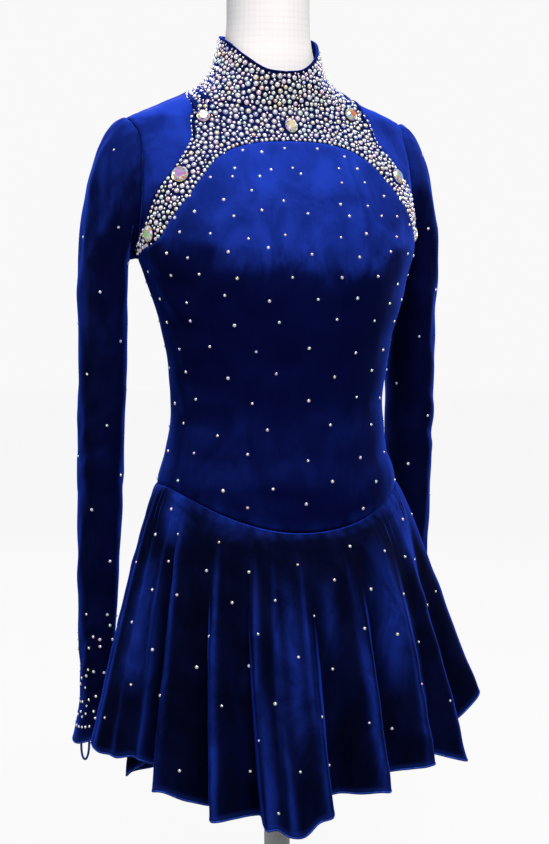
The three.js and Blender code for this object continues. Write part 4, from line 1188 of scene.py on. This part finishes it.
# ---- Stones ------------------------------------------------------------------------------------
TINTS = (
    (0.92, 0.93, 1.0), (0.98, 0.96, 0.92), (1.0, 0.74, 0.9), (0.85, 0.76, 1.0), (1.0, 0.9, 0.6), (0.68, 0.96, 0.82),
    (0.62, 0.85, 1.0), (0.5, 0.52, 0.85), (1.0, 0.62, 0.5),
)
TINT_ODDS = (0.25, 0.2, 0.15, 0.1, 0.09, 0.07, 0.06, 0.05, 0.03)


def stone_shape():
    """A flat-backed stone of unit radius: a cut crown with a flat table."""
    bm = bmesh.new()
    bmesh.ops.create_cone(bm, cap_ends=True, segments=8, radius1=1, radius2=0.52, depth=0.55)
    bmesh.ops.translate(bm, verts=bm.verts, vec=(0, 0, 0.275))
    bmesh.ops.triangulate(bm, faces=bm.faces)
    shape = np.array([vert.co for vert in bm.verts])
    faces = np.array([[vert.index for vert in face.verts] for face in bm.faces])
    bm.free()
    return shape, faces


def joined_stones(name, feet, normals, radii, draw):
    """One mesh of many small stones that lie on points of the cloth, each turned and tinted by itself."""
    shape, faces = stone_shape()
    count = len(feet)
    normals = unit(normals + draw.normal(0, 0.1, (count, 3)))
    aside = unit(np.cross(normals, draw.normal(size=(count, 3))))
    over = np.cross(normals, aside)
    axes = np.stack([aside, over, normals], 1)
    points = np.einsum("pk,nkj->npj", shape, axes) * radii[:, None, None] + (feet + normals * 0.1)[:, None]
    index = (faces[None] + np.arange(count)[:, None, None] * len(shape)).reshape(-1)
    mesh = bpy.data.meshes.new(name)
    mesh.vertices.add(count * len(shape))
    mesh.loops.add(len(index))
    mesh.polygons.add(len(index) // 3)
    mesh.vertices.foreach_set("co", (points * MM).astype(np.float32).reshape(-1))
    mesh.loops.foreach_set("vertex_index", index.astype(np.int32))
    mesh.polygons.foreach_set("loop_start", np.arange(0, len(index), 3, dtype=np.int32))
    mesh.update(calc_edges=True)
    picks = draw.choice(len(TINTS), count, p=TINT_ODDS)
    colour = np.array(TINTS)[picks] * draw.uniform(0.75, 1, (count, 1))
    layer = mesh.attributes.new("tint", "FLOAT_COLOR", "POINT")
    colour = np.repeat(np.c_[colour, np.ones(count)], len(shape), 0)
    layer.data.foreach_set("color", colour.astype(np.float32).reshape(-1))
    return finished(name, mesh, material("small_stones", small_stones), "crystal")


def spots_between(surface, normals, row, column):
    """Points and normals of a surface at rows and columns that needn't be whole."""
    i = np.clip(row.astype(int), 0, surface.shape[0] - 2)
    j = np.clip(column.astype(int), 0, surface.shape[1] - 2)
    a, b = (row - i)[:, None], (column - j)[:, None]

    def mixed(grid):
        return (grid[i, j] * (1 - a) * (1 - b) + grid[i + 1, j] * a * (1 - b)
                + grid[i, j + 1] * (1 - a) * b + grid[i + 1, j + 1] * a * b)

    return mixed(surface), unit(mixed(normals))


def packed(candidates, radii, nearby, gap):
    """The candidates that fit between the stones placed so far, in their order. Nearby maps cells to stones."""
    cell = 7.0
    around = [(x, y, z) for x in (-1, 0, 1) for y in (-1, 0, 1) for z in (-1, 0, 1)]
    kept = []
    for number, (point, radius) in enumerate(zip(candidates, radii)):
        home = tuple(int(math.floor(value / cell)) for value in point)
        others = (stone for step in around for stone in nearby.get(tuple(map(sum, zip(home, step))), ()))
        if all(math.dist(point, other) > radius + size + gap for other, size in others):
            kept.append(number)
            nearby.setdefault(home, []).append((tuple(point), radius))
    return kept


def lined_up(line, spacing):
    """Places along a line of points, evenly spaced."""
    length = np.concatenate([[0], np.linalg.norm(np.diff(line, axis=0), axis=-1).cumsum()])
    count = max(2, int(length[-1] / spacing))
    where = np.linspace(0, length[-1], count + 1)
    return np.interp(where, length, np.arange(len(line)))


# Closely set stones, from large to small: radius, its spread, and how many places are tried.
STONE_SIZES = ((3.0, 0.2, 420), (2.45, 0.2, 9000), (2.0, 0.15, 9000), (1.5, 0.15, 6000), (1.15, 0.1, 6000))
# The row along an edge: distance in and spacing.
ROW_IN, ROW_SPACING = 2.9, 5.7


def edge_rows(surface, draw):
    """Rows, columns and radii of the stones along the yoke's upper and lower edge."""
    rows, columns = surface.shape[0] - 1, surface.shape[1] - 1
    for edge in (0, rows):
        line = surface[edge]
        inset = ROW_IN / np.linalg.norm(surface[abs(edge - 1)] - line, axis=-1)
        column = lined_up(line, ROW_SPACING)
        column = np.clip(column + draw.normal(0, 0.12, len(column)), 0, columns - 0.01)
        depth = np.interp(column, np.arange(columns + 1), inset) * draw.uniform(0.85, 1.2, len(column))
        if edge == 0:
            outer = (column < SIDE) | (column > columns - SIDE)
            column, depth = column[outer], depth[outer]
        yield np.abs(edge - depth), column, draw.uniform(1.9, 2.35, len(column))


def scattered(surface, away, draw):
    """Rows, columns and radii of places to try all over a surface, evenly by area and from large to small."""
    rows, columns = surface.shape[0] - 1, surface.shape[1] - 1
    area = np.linalg.norm(np.cross(np.diff(surface, axis=0)[:, :-1], np.diff(surface, axis=1)[:-1]), axis=-1)
    odds = (area / area.sum()).reshape(-1)
    for radius, spread, tries in STONE_SIZES:
        cells = draw.choice(len(odds), tries, p=odds)
        row = cells // columns + draw.random(tries)
        column = cells % columns + draw.random(tries)
        i, j = np.minimum(row.astype(int), rows), np.minimum(column.astype(int), columns)
        inside = away[i, j] > radius + 0.3
        radii = radius + draw.uniform(-spread, spread, tries)
        yield row[inside], column[inside], radii[inside]


class DRESS_OT_set_stones(bpy.types.Operator):
    """Stones set close together on the yoke and collar: a row along each edge, then every size between"""
    bl_idname = "dress.set_stones"
    bl_label = "Closely set stones"

    def execute(self, context):
        draw = np.random.default_rng(sizes().seed)
        gap = sizes().stone_gap / MM
        nearby = {}
        crystals = [(figure(turn, up), max(half, tall)) for turn, up, half, tall, _ in CRYSTALS.values()]

        def fitted(surface, normals, row, column, radii):
            """The stones of these places that clear the crystals and the stones placed so far."""
            points, ways = spots_between(surface, normals, row, column)
            clear = np.ones(len(points), bool)
            for middle, reach in crystals:
                clear &= np.linalg.norm(points - middle, axis=-1) > reach + radii + 0.2
            points, ways, radii = points[clear], ways[clear], radii[clear]
            kept = packed(points.tolist(), radii.tolist(), nearby, gap)
            return points[kept], ways[kept], radii[kept]

        # At the neck seam the stones run on from the yoke to the collar.
        yoke, normals = SURFACES["yoke_cloth"]
        beside_neck = slice(SIDE + 2, yoke.shape[1] - 1 - SIDE - 1)
        away = border_distance(yoke)
        away[:, beside_neck] = border_distance(yoke, (0, 1, 1, 1))[:, beside_neck]
        places = [*edge_rows(yoke, draw), *scattered(yoke, away, draw)]
        stones = [fitted(yoke, normals, *place) for place in places]
        joined_stones("yoke_stones", *map(np.concatenate, zip(*stones)), draw)
        collar, normals = SURFACES["collar_cloth"]
        places = scattered(collar, border_distance(collar, (1, 0, 1, 1)), draw)
        stones = [fitted(collar, normals, *place) for place in places]
        joined_stones("collar_stones", *map(np.concatenate, zip(*stones)), draw)
        return {"FINISHED"}


# Rows of scattered stones on the front: height, spacing between stones, first turn.
SCATTER_ROWS = (
    (818, 25, 0), (803, 27, 12), (788, 30, 0), (771, 32, 8), (753, 34, 0), (733, 36, 9), (711, 39, 0), (688, 42, 10),
    (664, 44, 0), (639, 46, 11), (613, 48, 0), (586, 50, 12), (558, 52, 0), (529, 54, 12), (500, 54, 0),
    (471, 56, 11), (445, 56, 0),
)


def nearest_on(name, targets, reach):
    """Points of a piece's surface nearest to targets, their normals, and which targets lie on the piece."""
    surface, normals = SURFACES[name]
    points, ways = surface.reshape(-1, 3), normals.reshape(-1, 3)
    tree = KDTree(len(points))
    for i, point in enumerate(points):
        tree.insert(point, i)
    tree.balance()
    found = [tree.find(target) for target in targets]
    picks = np.array([hit[1] for hit in found])
    near = np.array([hit[2] for hit in found]) < reach
    foot = points[picks]
    along = targets - foot
    along -= (along * ways[picks]).sum(-1, keepdims=True) * ways[picks]
    return foot + along, ways[picks], near


def row_of_spots(up, spacing, first, draw):
    """Uneven places round the figure at a height."""
    count = int(round(2 * np.pi * HALF(up) * 0.85 / spacing))
    turn = first + np.arange(count) * 360 / count + draw.normal(0, 1.6, count)
    return figure(apart(turn, 0), up + draw.normal(0, 3.2, count))


# A sleeve's stones: how many down the arm and near the cuff, how many round the rim, and where its two rows lie.
ARM_STONES, CUFF_STONES, RIM_STONES, RIM_ROWS = 26, 120, 26, (0.962, 0.977)


def sleeve_spots(rows, columns, draw):
    """Rows and columns of a sleeve's stones: few down the arm, many near the cuff, two even rows at its rim."""
    number = np.arange(ARM_STONES)
    row = [np.linspace(0.06, 0.74, ARM_STONES) * rows, (0.77 + 0.2 * np.sqrt(draw.random(CUFF_STONES))) * rows]
    column = [((number * 0.382 + 0.1) % 1) * (columns - 1), draw.random(CUFF_STONES) * (columns - 1)]
    rim = np.arange(0, columns - 1, columns / RIM_STONES)
    row += [np.full(len(rim), share * rows) for share in RIM_ROWS]
    column += [rim, rim + columns / RIM_STONES / 2]
    return np.concatenate(row), np.minimum(np.concatenate(column), columns - 0.01)


class DRESS_OT_scattered_stones(bpy.types.Operator):
    """Small stones scattered over the bodice, sleeves and skirt, closer together above and at the cuffs"""
    bl_idname = "dress.scattered_stones"
    bl_label = "Scattered stones"

    def execute(self, context):
        draw = np.random.default_rng(sizes().seed + 1)
        radius = sizes().scatter / MM / 2

        def scatter(label, feet, ways, least, most):
            joined_stones(f"{label}_stones", feet, ways, radius * draw.uniform(least, most, len(feet)), draw)

        targets = np.concatenate([row_of_spots(*row, draw) for row in SCATTER_ROWS])
        for name, label in (("front_bodice", "front"), ("back_L_panel", "back_L"), ("back_R_panel", "back_R")):
            feet, ways, near = nearest_on(name, targets, 2.6)
            scatter(label, feet[near], ways[near], 0.85, 1.15)
        for name, count in (("skirt_front", 62), ("skirt_back", 50)):
            surface, normals = SURFACES[f"{name}_cloth"]
            number = np.arange(count)
            column = (number + 0.5) / count * (surface.shape[1] - 1)
            row = (0.08 + 0.88 * ((number * 0.618 + 0.3) % 1)) * (surface.shape[0] - 1)
            scatter(name, *spots_between(surface, normals, row, column), 0.8, 1.15)
        for side in "LR":
            surface, normals = SURFACES[f"sleeve_{side}_cloth"]
            spots = sleeve_spots(surface.shape[0] - 1, surface.shape[1] - 1, draw)
            feet, ways = spots_between(surface, normals, *spots)
            kept = packed(feet.tolist(), [radius * 1.7] * len(feet), {}, 0.2)
            scatter(f"sleeve_{side}", feet[kept], ways[kept], 0.8, 1.1)
        return {"FINISHED"}


# Colours painted on the crystals' facets, as painted flashes of light.
CRYSTAL_TINTS = (
    (1.0, 0.8, 0.3), (0.95, 0.36, 0.14), (0.6, 0.85, 0.3), (0.96, 0.9, 0.95), (1.0, 0.9, 0.6), (0.75, 0.4, 0.9),
    (0.2, 0.62, 0.75), (1.0, 0.66, 0.72), (0.98, 0.95, 0.82), (0.2, 0.25, 0.45),
)


def crystal_shape(half, tall, draw):
    """A flat-backed crystal with two rings of crown facets round its table."""
    bm = bmesh.new()
    sides = 16
    bmesh.ops.create_cone(bm, cap_ends=True, segments=sides, radius1=0.94, radius2=1, depth=0.35)
    bmesh.ops.translate(bm, verts=bm.verts, vec=(0, 0, 0.175))
    for high, scale in ((0.3, 0.8), (0.27, 0.66)):
        top = max(bm.faces, key=lambda face: face.calc_center_median().z)
        lifted = bmesh.ops.extrude_face_region(bm, geom=[top])["geom"]
        verts = [item for item in lifted if isinstance(item, bmesh.types.BMVert)]
        bmesh.ops.delete(bm, geom=[top], context="FACES_ONLY")
        bmesh.ops.translate(bm, verts=verts, vec=(0, 0, high))
        bmesh.ops.scale(bm, verts=verts, vec=(scale, scale, 1))
        bmesh.ops.rotate(bm, verts=verts, cent=(0, 0, 0), matrix=Matrix.Rotation(math.pi / sides, 3, "Z"))
    bmesh.ops.triangulate(bm, faces=[face for face in bm.faces if len(face.verts) == 4])
    bmesh.ops.scale(bm, verts=bm.verts, vec=(half, tall, CRYSTAL_HIGH / 0.92))
    bmesh.ops.recalc_face_normals(bm, faces=bm.faces)
    mesh = as_mesh(bm, "crystal")
    layer = mesh.attributes.new("tint", "FLOAT_COLOR", "CORNER")
    colour = np.ones((len(mesh.loops), 4), np.float32)
    for face in mesh.polygons:
        colour[list(face.loop_indices), :3] = CRYSTAL_TINTS[draw.integers(len(CRYSTAL_TINTS))]
    layer.data.foreach_set("color", colour.reshape(-1))
    return mesh


class DRESS_OT_crystals(bpy.types.Operator):
    """Large crystals of the yoke"""
    bl_idname = "dress.crystals"
    bl_label = "Large crystals"

    def execute(self, context):
        draw = np.random.default_rng(sizes().seed + 2)
        for name, (turn, up, half, tall, lift) in CRYSTALS.items():
            foot = figure(turn, up)
            normal = unit(slope_of(foot))
            mesh = crystal_shape(half, tall, draw)
            mesh.transform(basis(foot + normal * lift, normal) @ Matrix.Scale(MM, 4))
            finished(f"{name}_cut", mesh, material("large_crystals", large_crystals), "crystal", name)
        return {"FINISHED"}


class DRESS_OT_buttons(bpy.types.Operator):
    """Small domed buttons down the centre back of the collar"""
    bl_idname = "dress.buttons"
    bl_label = "Buttons"

    def execute(self, context):
        for number, (up, lift) in enumerate(BUTTONS, 1):
            radius, high = BUTTON_RADIUS, BUTTON_HIGH
            profile = [(0, 0), (radius * 0.8, 0), (radius * 0.97, high * 0.22), (radius, high * 0.4)]
            dome = np.radians(np.arange(12, 91, 13))
            profile += [(radius * 0.97 * math.cos(a), high * (0.42 + 0.58 * math.sin(a))) for a in dome[:-1]]
            profile.append((0, high))
            mesh = turned_mesh("button", profile, 40)
            mesh.shade_smooth()
            foot = figure(180, up)
            normal = unit(slope_of(foot))
            mesh.transform(basis(foot + normal * lift, normal) @ Matrix.Scale(MM, 4))
            finish = material("moulded_button", moulded_button)
            finished(f"button_{number}", mesh, finish, "button", f"back_button_{number}")
        return {"FINISHED"}


# ---- Form and stand ------------------------------------------------------------------------------
class DRESS_OT_form(bpy.types.Operator):
    """Limbless dress form with its knitted cover"""
    bl_idname = "dress.form"
    bl_label = "Dress form"

    def execute(self, context):
        up = np.concatenate([np.arange(FORM_BOTTOM, 985, 8.0), np.linspace(985, FORM_TOP, 12)])
        turn = np.linspace(0, 360, 97)
        turn[-1] = 0
        surface = figure(turn[None], up[:, None])
        surface = surface - unit(slope_of(surface)) * (sizes().cloth / MM + FORM_CLEARANCE)
        surface[:, -1] = surface[:, 0]
        for end, low in ((0, surface[0, :, 2].min()), (-1, surface[-1, :, 2].max())):
            middle = np.array([surface[end, :, 0].mean(), surface[end, :, 1].mean(), low])
            caps = [middle + (surface[end] - middle) * share for share in (0.97, 0.8, 0.4, 0)]
            surface = np.concatenate([np.array(caps[::-1]), surface] if end == 0 else [surface, np.array(caps)])
        mesh = grid_mesh("form_body", surface, closed=True)
        with editing(mesh) as bm:
            bmesh.ops.recalc_face_normals(bm, faces=bm.faces)
        finished("form_body", mesh, material("knitted_cover", knitted_cover), "form_cover", "form_torso")
        return {"FINISHED"}


class DRESS_OT_stand(bpy.types.Operator):
    """Post with its flanges, and the round base"""
    bl_idname = "dress.stand"
    bl_label = "Stand"

    def execute(self, context):
        foot, top = BASE_THICK + SEAM_GAP, FORM_BOTTOM - SEAM_GAP
        flange = [
            (POST_FLANGE - 0.8, 0), (POST_FLANGE, 0.8), (POST_FLANGE, FLANGE_THICK - 1),
            (POST_FLANGE - 1, FLANGE_THICK), (POST_RADIUS + 5, FLANGE_THICK + 0.6),
            (POST_RADIUS + 1.2, FLANGE_THICK + 1.6), (POST_RADIUS, FLANGE_THICK + 4),
        ]
        post = [(0, foot), *((radius, foot + high) for radius, high in flange)]
        post += [*((radius, top - high) for radius, high in reversed(flange)), (0, top)]
        base = [(0, 0), (BASE_RADIUS - 1.2, 0), (BASE_RADIUS, 1.2), (BASE_RADIUS, BASE_THICK - 4)]
        curve = np.radians(np.arange(15, 91, 15))
        base += [(BASE_RADIUS - 4 + 4 * math.cos(a), BASE_THICK - 4 + 4 * math.sin(a)) for a in curve]
        base.append((0, BASE_THICK))
        for name, node, profile in (("stand_post", "form_post", post), ("stand_base", "form_base", base)):
            mesh = turned_mesh(name, [(radius * MM, high * MM) for radius, high in profile], 96)
            mesh.shade_smooth()
            mesh.set_sharp_from_angle(angle=math.radians(35))
            finished(name, mesh, material("satin_paint", satin_paint), "stand_paint", node)
        return {"FINISHED"}


# ---- Stage ---------------------------------------------------------------------------------------
LIGHTS = (
    # name, place, aim, width, height, power, colour
    ("key", (-0.15, -1.35, 2.7), (0, 0, 0.72), 1.3, 0.8, 74, (1, 0.98, 0.96)),
    ("front", (-1.6, -2.6, 1.3), (0, 0, 0.5), 1.0, 1.4, 7, (0.95, 0.97, 1)),
    ("left_edge", (2.0, 0.6, 1.3), (0, 0, 0.6), 0.6, 1.8, 12, (0.95, 0.97, 1)),
    ("right_edge", (-2.1, 0.9, 1.3), (0, 0, 0.6), 0.6, 1.8, 12, (0.95, 0.97, 1)),
    ("behind", (0.3, 2.4, 2.2), (0, 0, 0.7), 1.2, 1.2, 30, (1, 1, 1)),
)
# Brightness of the backdrop as the camera sees it, and as the dress does.
BACKDROP, UNSEEN = 0.94, 0.12
# The camera: degrees towards the wearer's right, degrees down, then metres away, aside and high, and its lens.
CAMERA_TURN, CAMERA_PITCH = 22, 4.4
CAMERA_AWAY, CAMERA_ASIDE, CAMERA_HIGH = 2.4, 0.0027, 0.715
LENS = 94.78


def placed(name, data):
    """An object of the stage, linked to the scene."""
    thing = bpy.data.objects.new(name, data)
    bpy.context.scene.collection.objects.link(thing)
    return thing


def lay_floor():
    """A wide round floor under the base."""
    bm = bmesh.new()
    bmesh.ops.create_circle(bm, cap_ends=True, segments=96, radius=9)
    mesh = as_mesh(bm, "floor")
    floor = placed("floor", mesh)
    floor.location.z = -0.0004
    mesh.materials.append(material("floor", pale_floor))


def pale_floor(n, shader):
    """A floor that the camera sees as bright as the backdrop, and that throws little light."""
    seen = n.add("LightPath").outputs["Is Camera Ray"]
    n.dress(shader, Base_Color=(0.04, 0.04, 0.04), Roughness=1.0, Specular_IOR_Level=0.0,
            Emission_Color=(1, 1, 1), Emission_Strength=n.line(seen, BACKDROP - 0.14, UNSEEN))


def light_room():
    """The backdrop as the camera sees it, dim for everything else."""
    world = bpy.data.worlds.new("studio")
    bpy.context.scene.world = world
    world.use_nodes = True
    n = Nodes(world.node_tree)
    seen = n.add("LightPath").outputs["Is Camera Ray"]
    n.dress(world.node_tree.nodes["Background"], Color=(1, 1, 1), Strength=n.line(seen, BACKDROP - UNSEEN, UNSEEN))


def hang_lamp(name, place, aim, width, height, watts, colour):
    """A soft box that looks at a point of the dress."""
    light = bpy.data.lights.new(name, "AREA")
    light.shape = "RECTANGLE"
    light.size, light.size_y = width, height
    light.energy = watts
    light.color = colour
    lamp = placed(name, light)
    lamp.location = place
    lamp.rotation_euler = (Vector(aim) - Vector(place)).to_track_quat("-Z", "Y").to_euler()


def stand_camera():
    """The camera, a little to the wearer's right and looking slightly down."""
    azimuth, pitch = math.radians(CAMERA_TURN), math.radians(CAMERA_PITCH)
    ahead = Vector((math.sin(azimuth), math.cos(azimuth), 0))
    right = Vector((math.cos(azimuth), -math.sin(azimuth), 0))
    lens = bpy.data.cameras.new("camera")
    lens.sensor_width = 36
    lens.lens = LENS
    camera = placed("camera", lens)
    camera.location = -ahead * CAMERA_AWAY - right * CAMERA_ASIDE + Vector((0, 0, CAMERA_HIGH))
    look = ahead * math.cos(pitch) - Vector((0, 0, math.sin(pitch)))
    camera.rotation_euler = look.to_track_quat("-Z", "Y").to_euler()
    bpy.context.scene.camera = camera


class DRESS_OT_stage(bpy.types.Operator):
    """Pale floor, soft studio light and the camera"""
    bl_idname = "dress.stage"
    bl_label = "Stage"

    def execute(self, context):
        context.scene.view_settings.view_transform = "Standard"
        lay_floor()
        light_room()
        for lamp in LIGHTS:
            hang_lamp(*lamp)
        stand_camera()
        return {"FINISHED"}


# ---- Add-on ----------------------------------------------------------------------------------------
STEPS = (
    DRESS_OT_stage, DRESS_OT_finger_loops, DRESS_OT_bodice, DRESS_OT_shoulders, DRESS_OT_backs,
    DRESS_OT_yoke_and_collar, DRESS_OT_sleeves, DRESS_OT_skirt, DRESS_OT_set_stones,
    DRESS_OT_scattered_stones, DRESS_OT_crystals, DRESS_OT_buttons, DRESS_OT_form, DRESS_OT_stand,
)


class DRESS_PT_panel(bpy.types.Panel):
    """Lists the pieces of the dress, with its sizes and colours"""
    bl_idname = "DRESS_PT_panel"
    bl_label = "Figure skating dress"
    bl_space_type = "VIEW_3D"
    bl_region_type = "UI"
    bl_category = "Dress"

    def draw(self, context):
        for settings in (context.scene.dress_sizes, context.scene.dress_colours):
            box = self.layout.box()
            for label in settings.__annotations__:
                box.prop(settings, label)
        for step in STEPS:
            self.layout.operator(step.bl_idname)


CLASSES = (DressSizes, DressColours, *STEPS, DRESS_PT_panel)


def register():
    for made in CLASSES:
        bpy.utils.register_class(made)
    bpy.types.Scene.dress_sizes = PointerProperty(type=DressSizes)
    bpy.types.Scene.dress_colours = PointerProperty(type=DressColours)


def unregister():
    del bpy.types.Scene.dress_colours
    del bpy.types.Scene.dress_sizes
    for made in reversed(CLASSES):
        bpy.utils.unregister_class(made)


def main():
    register()
    for step in STEPS:
        family, name = step.bl_idname.split(".")
        getattr(getattr(bpy.ops, family), name)()


if __name__ == "__main__":
    main()
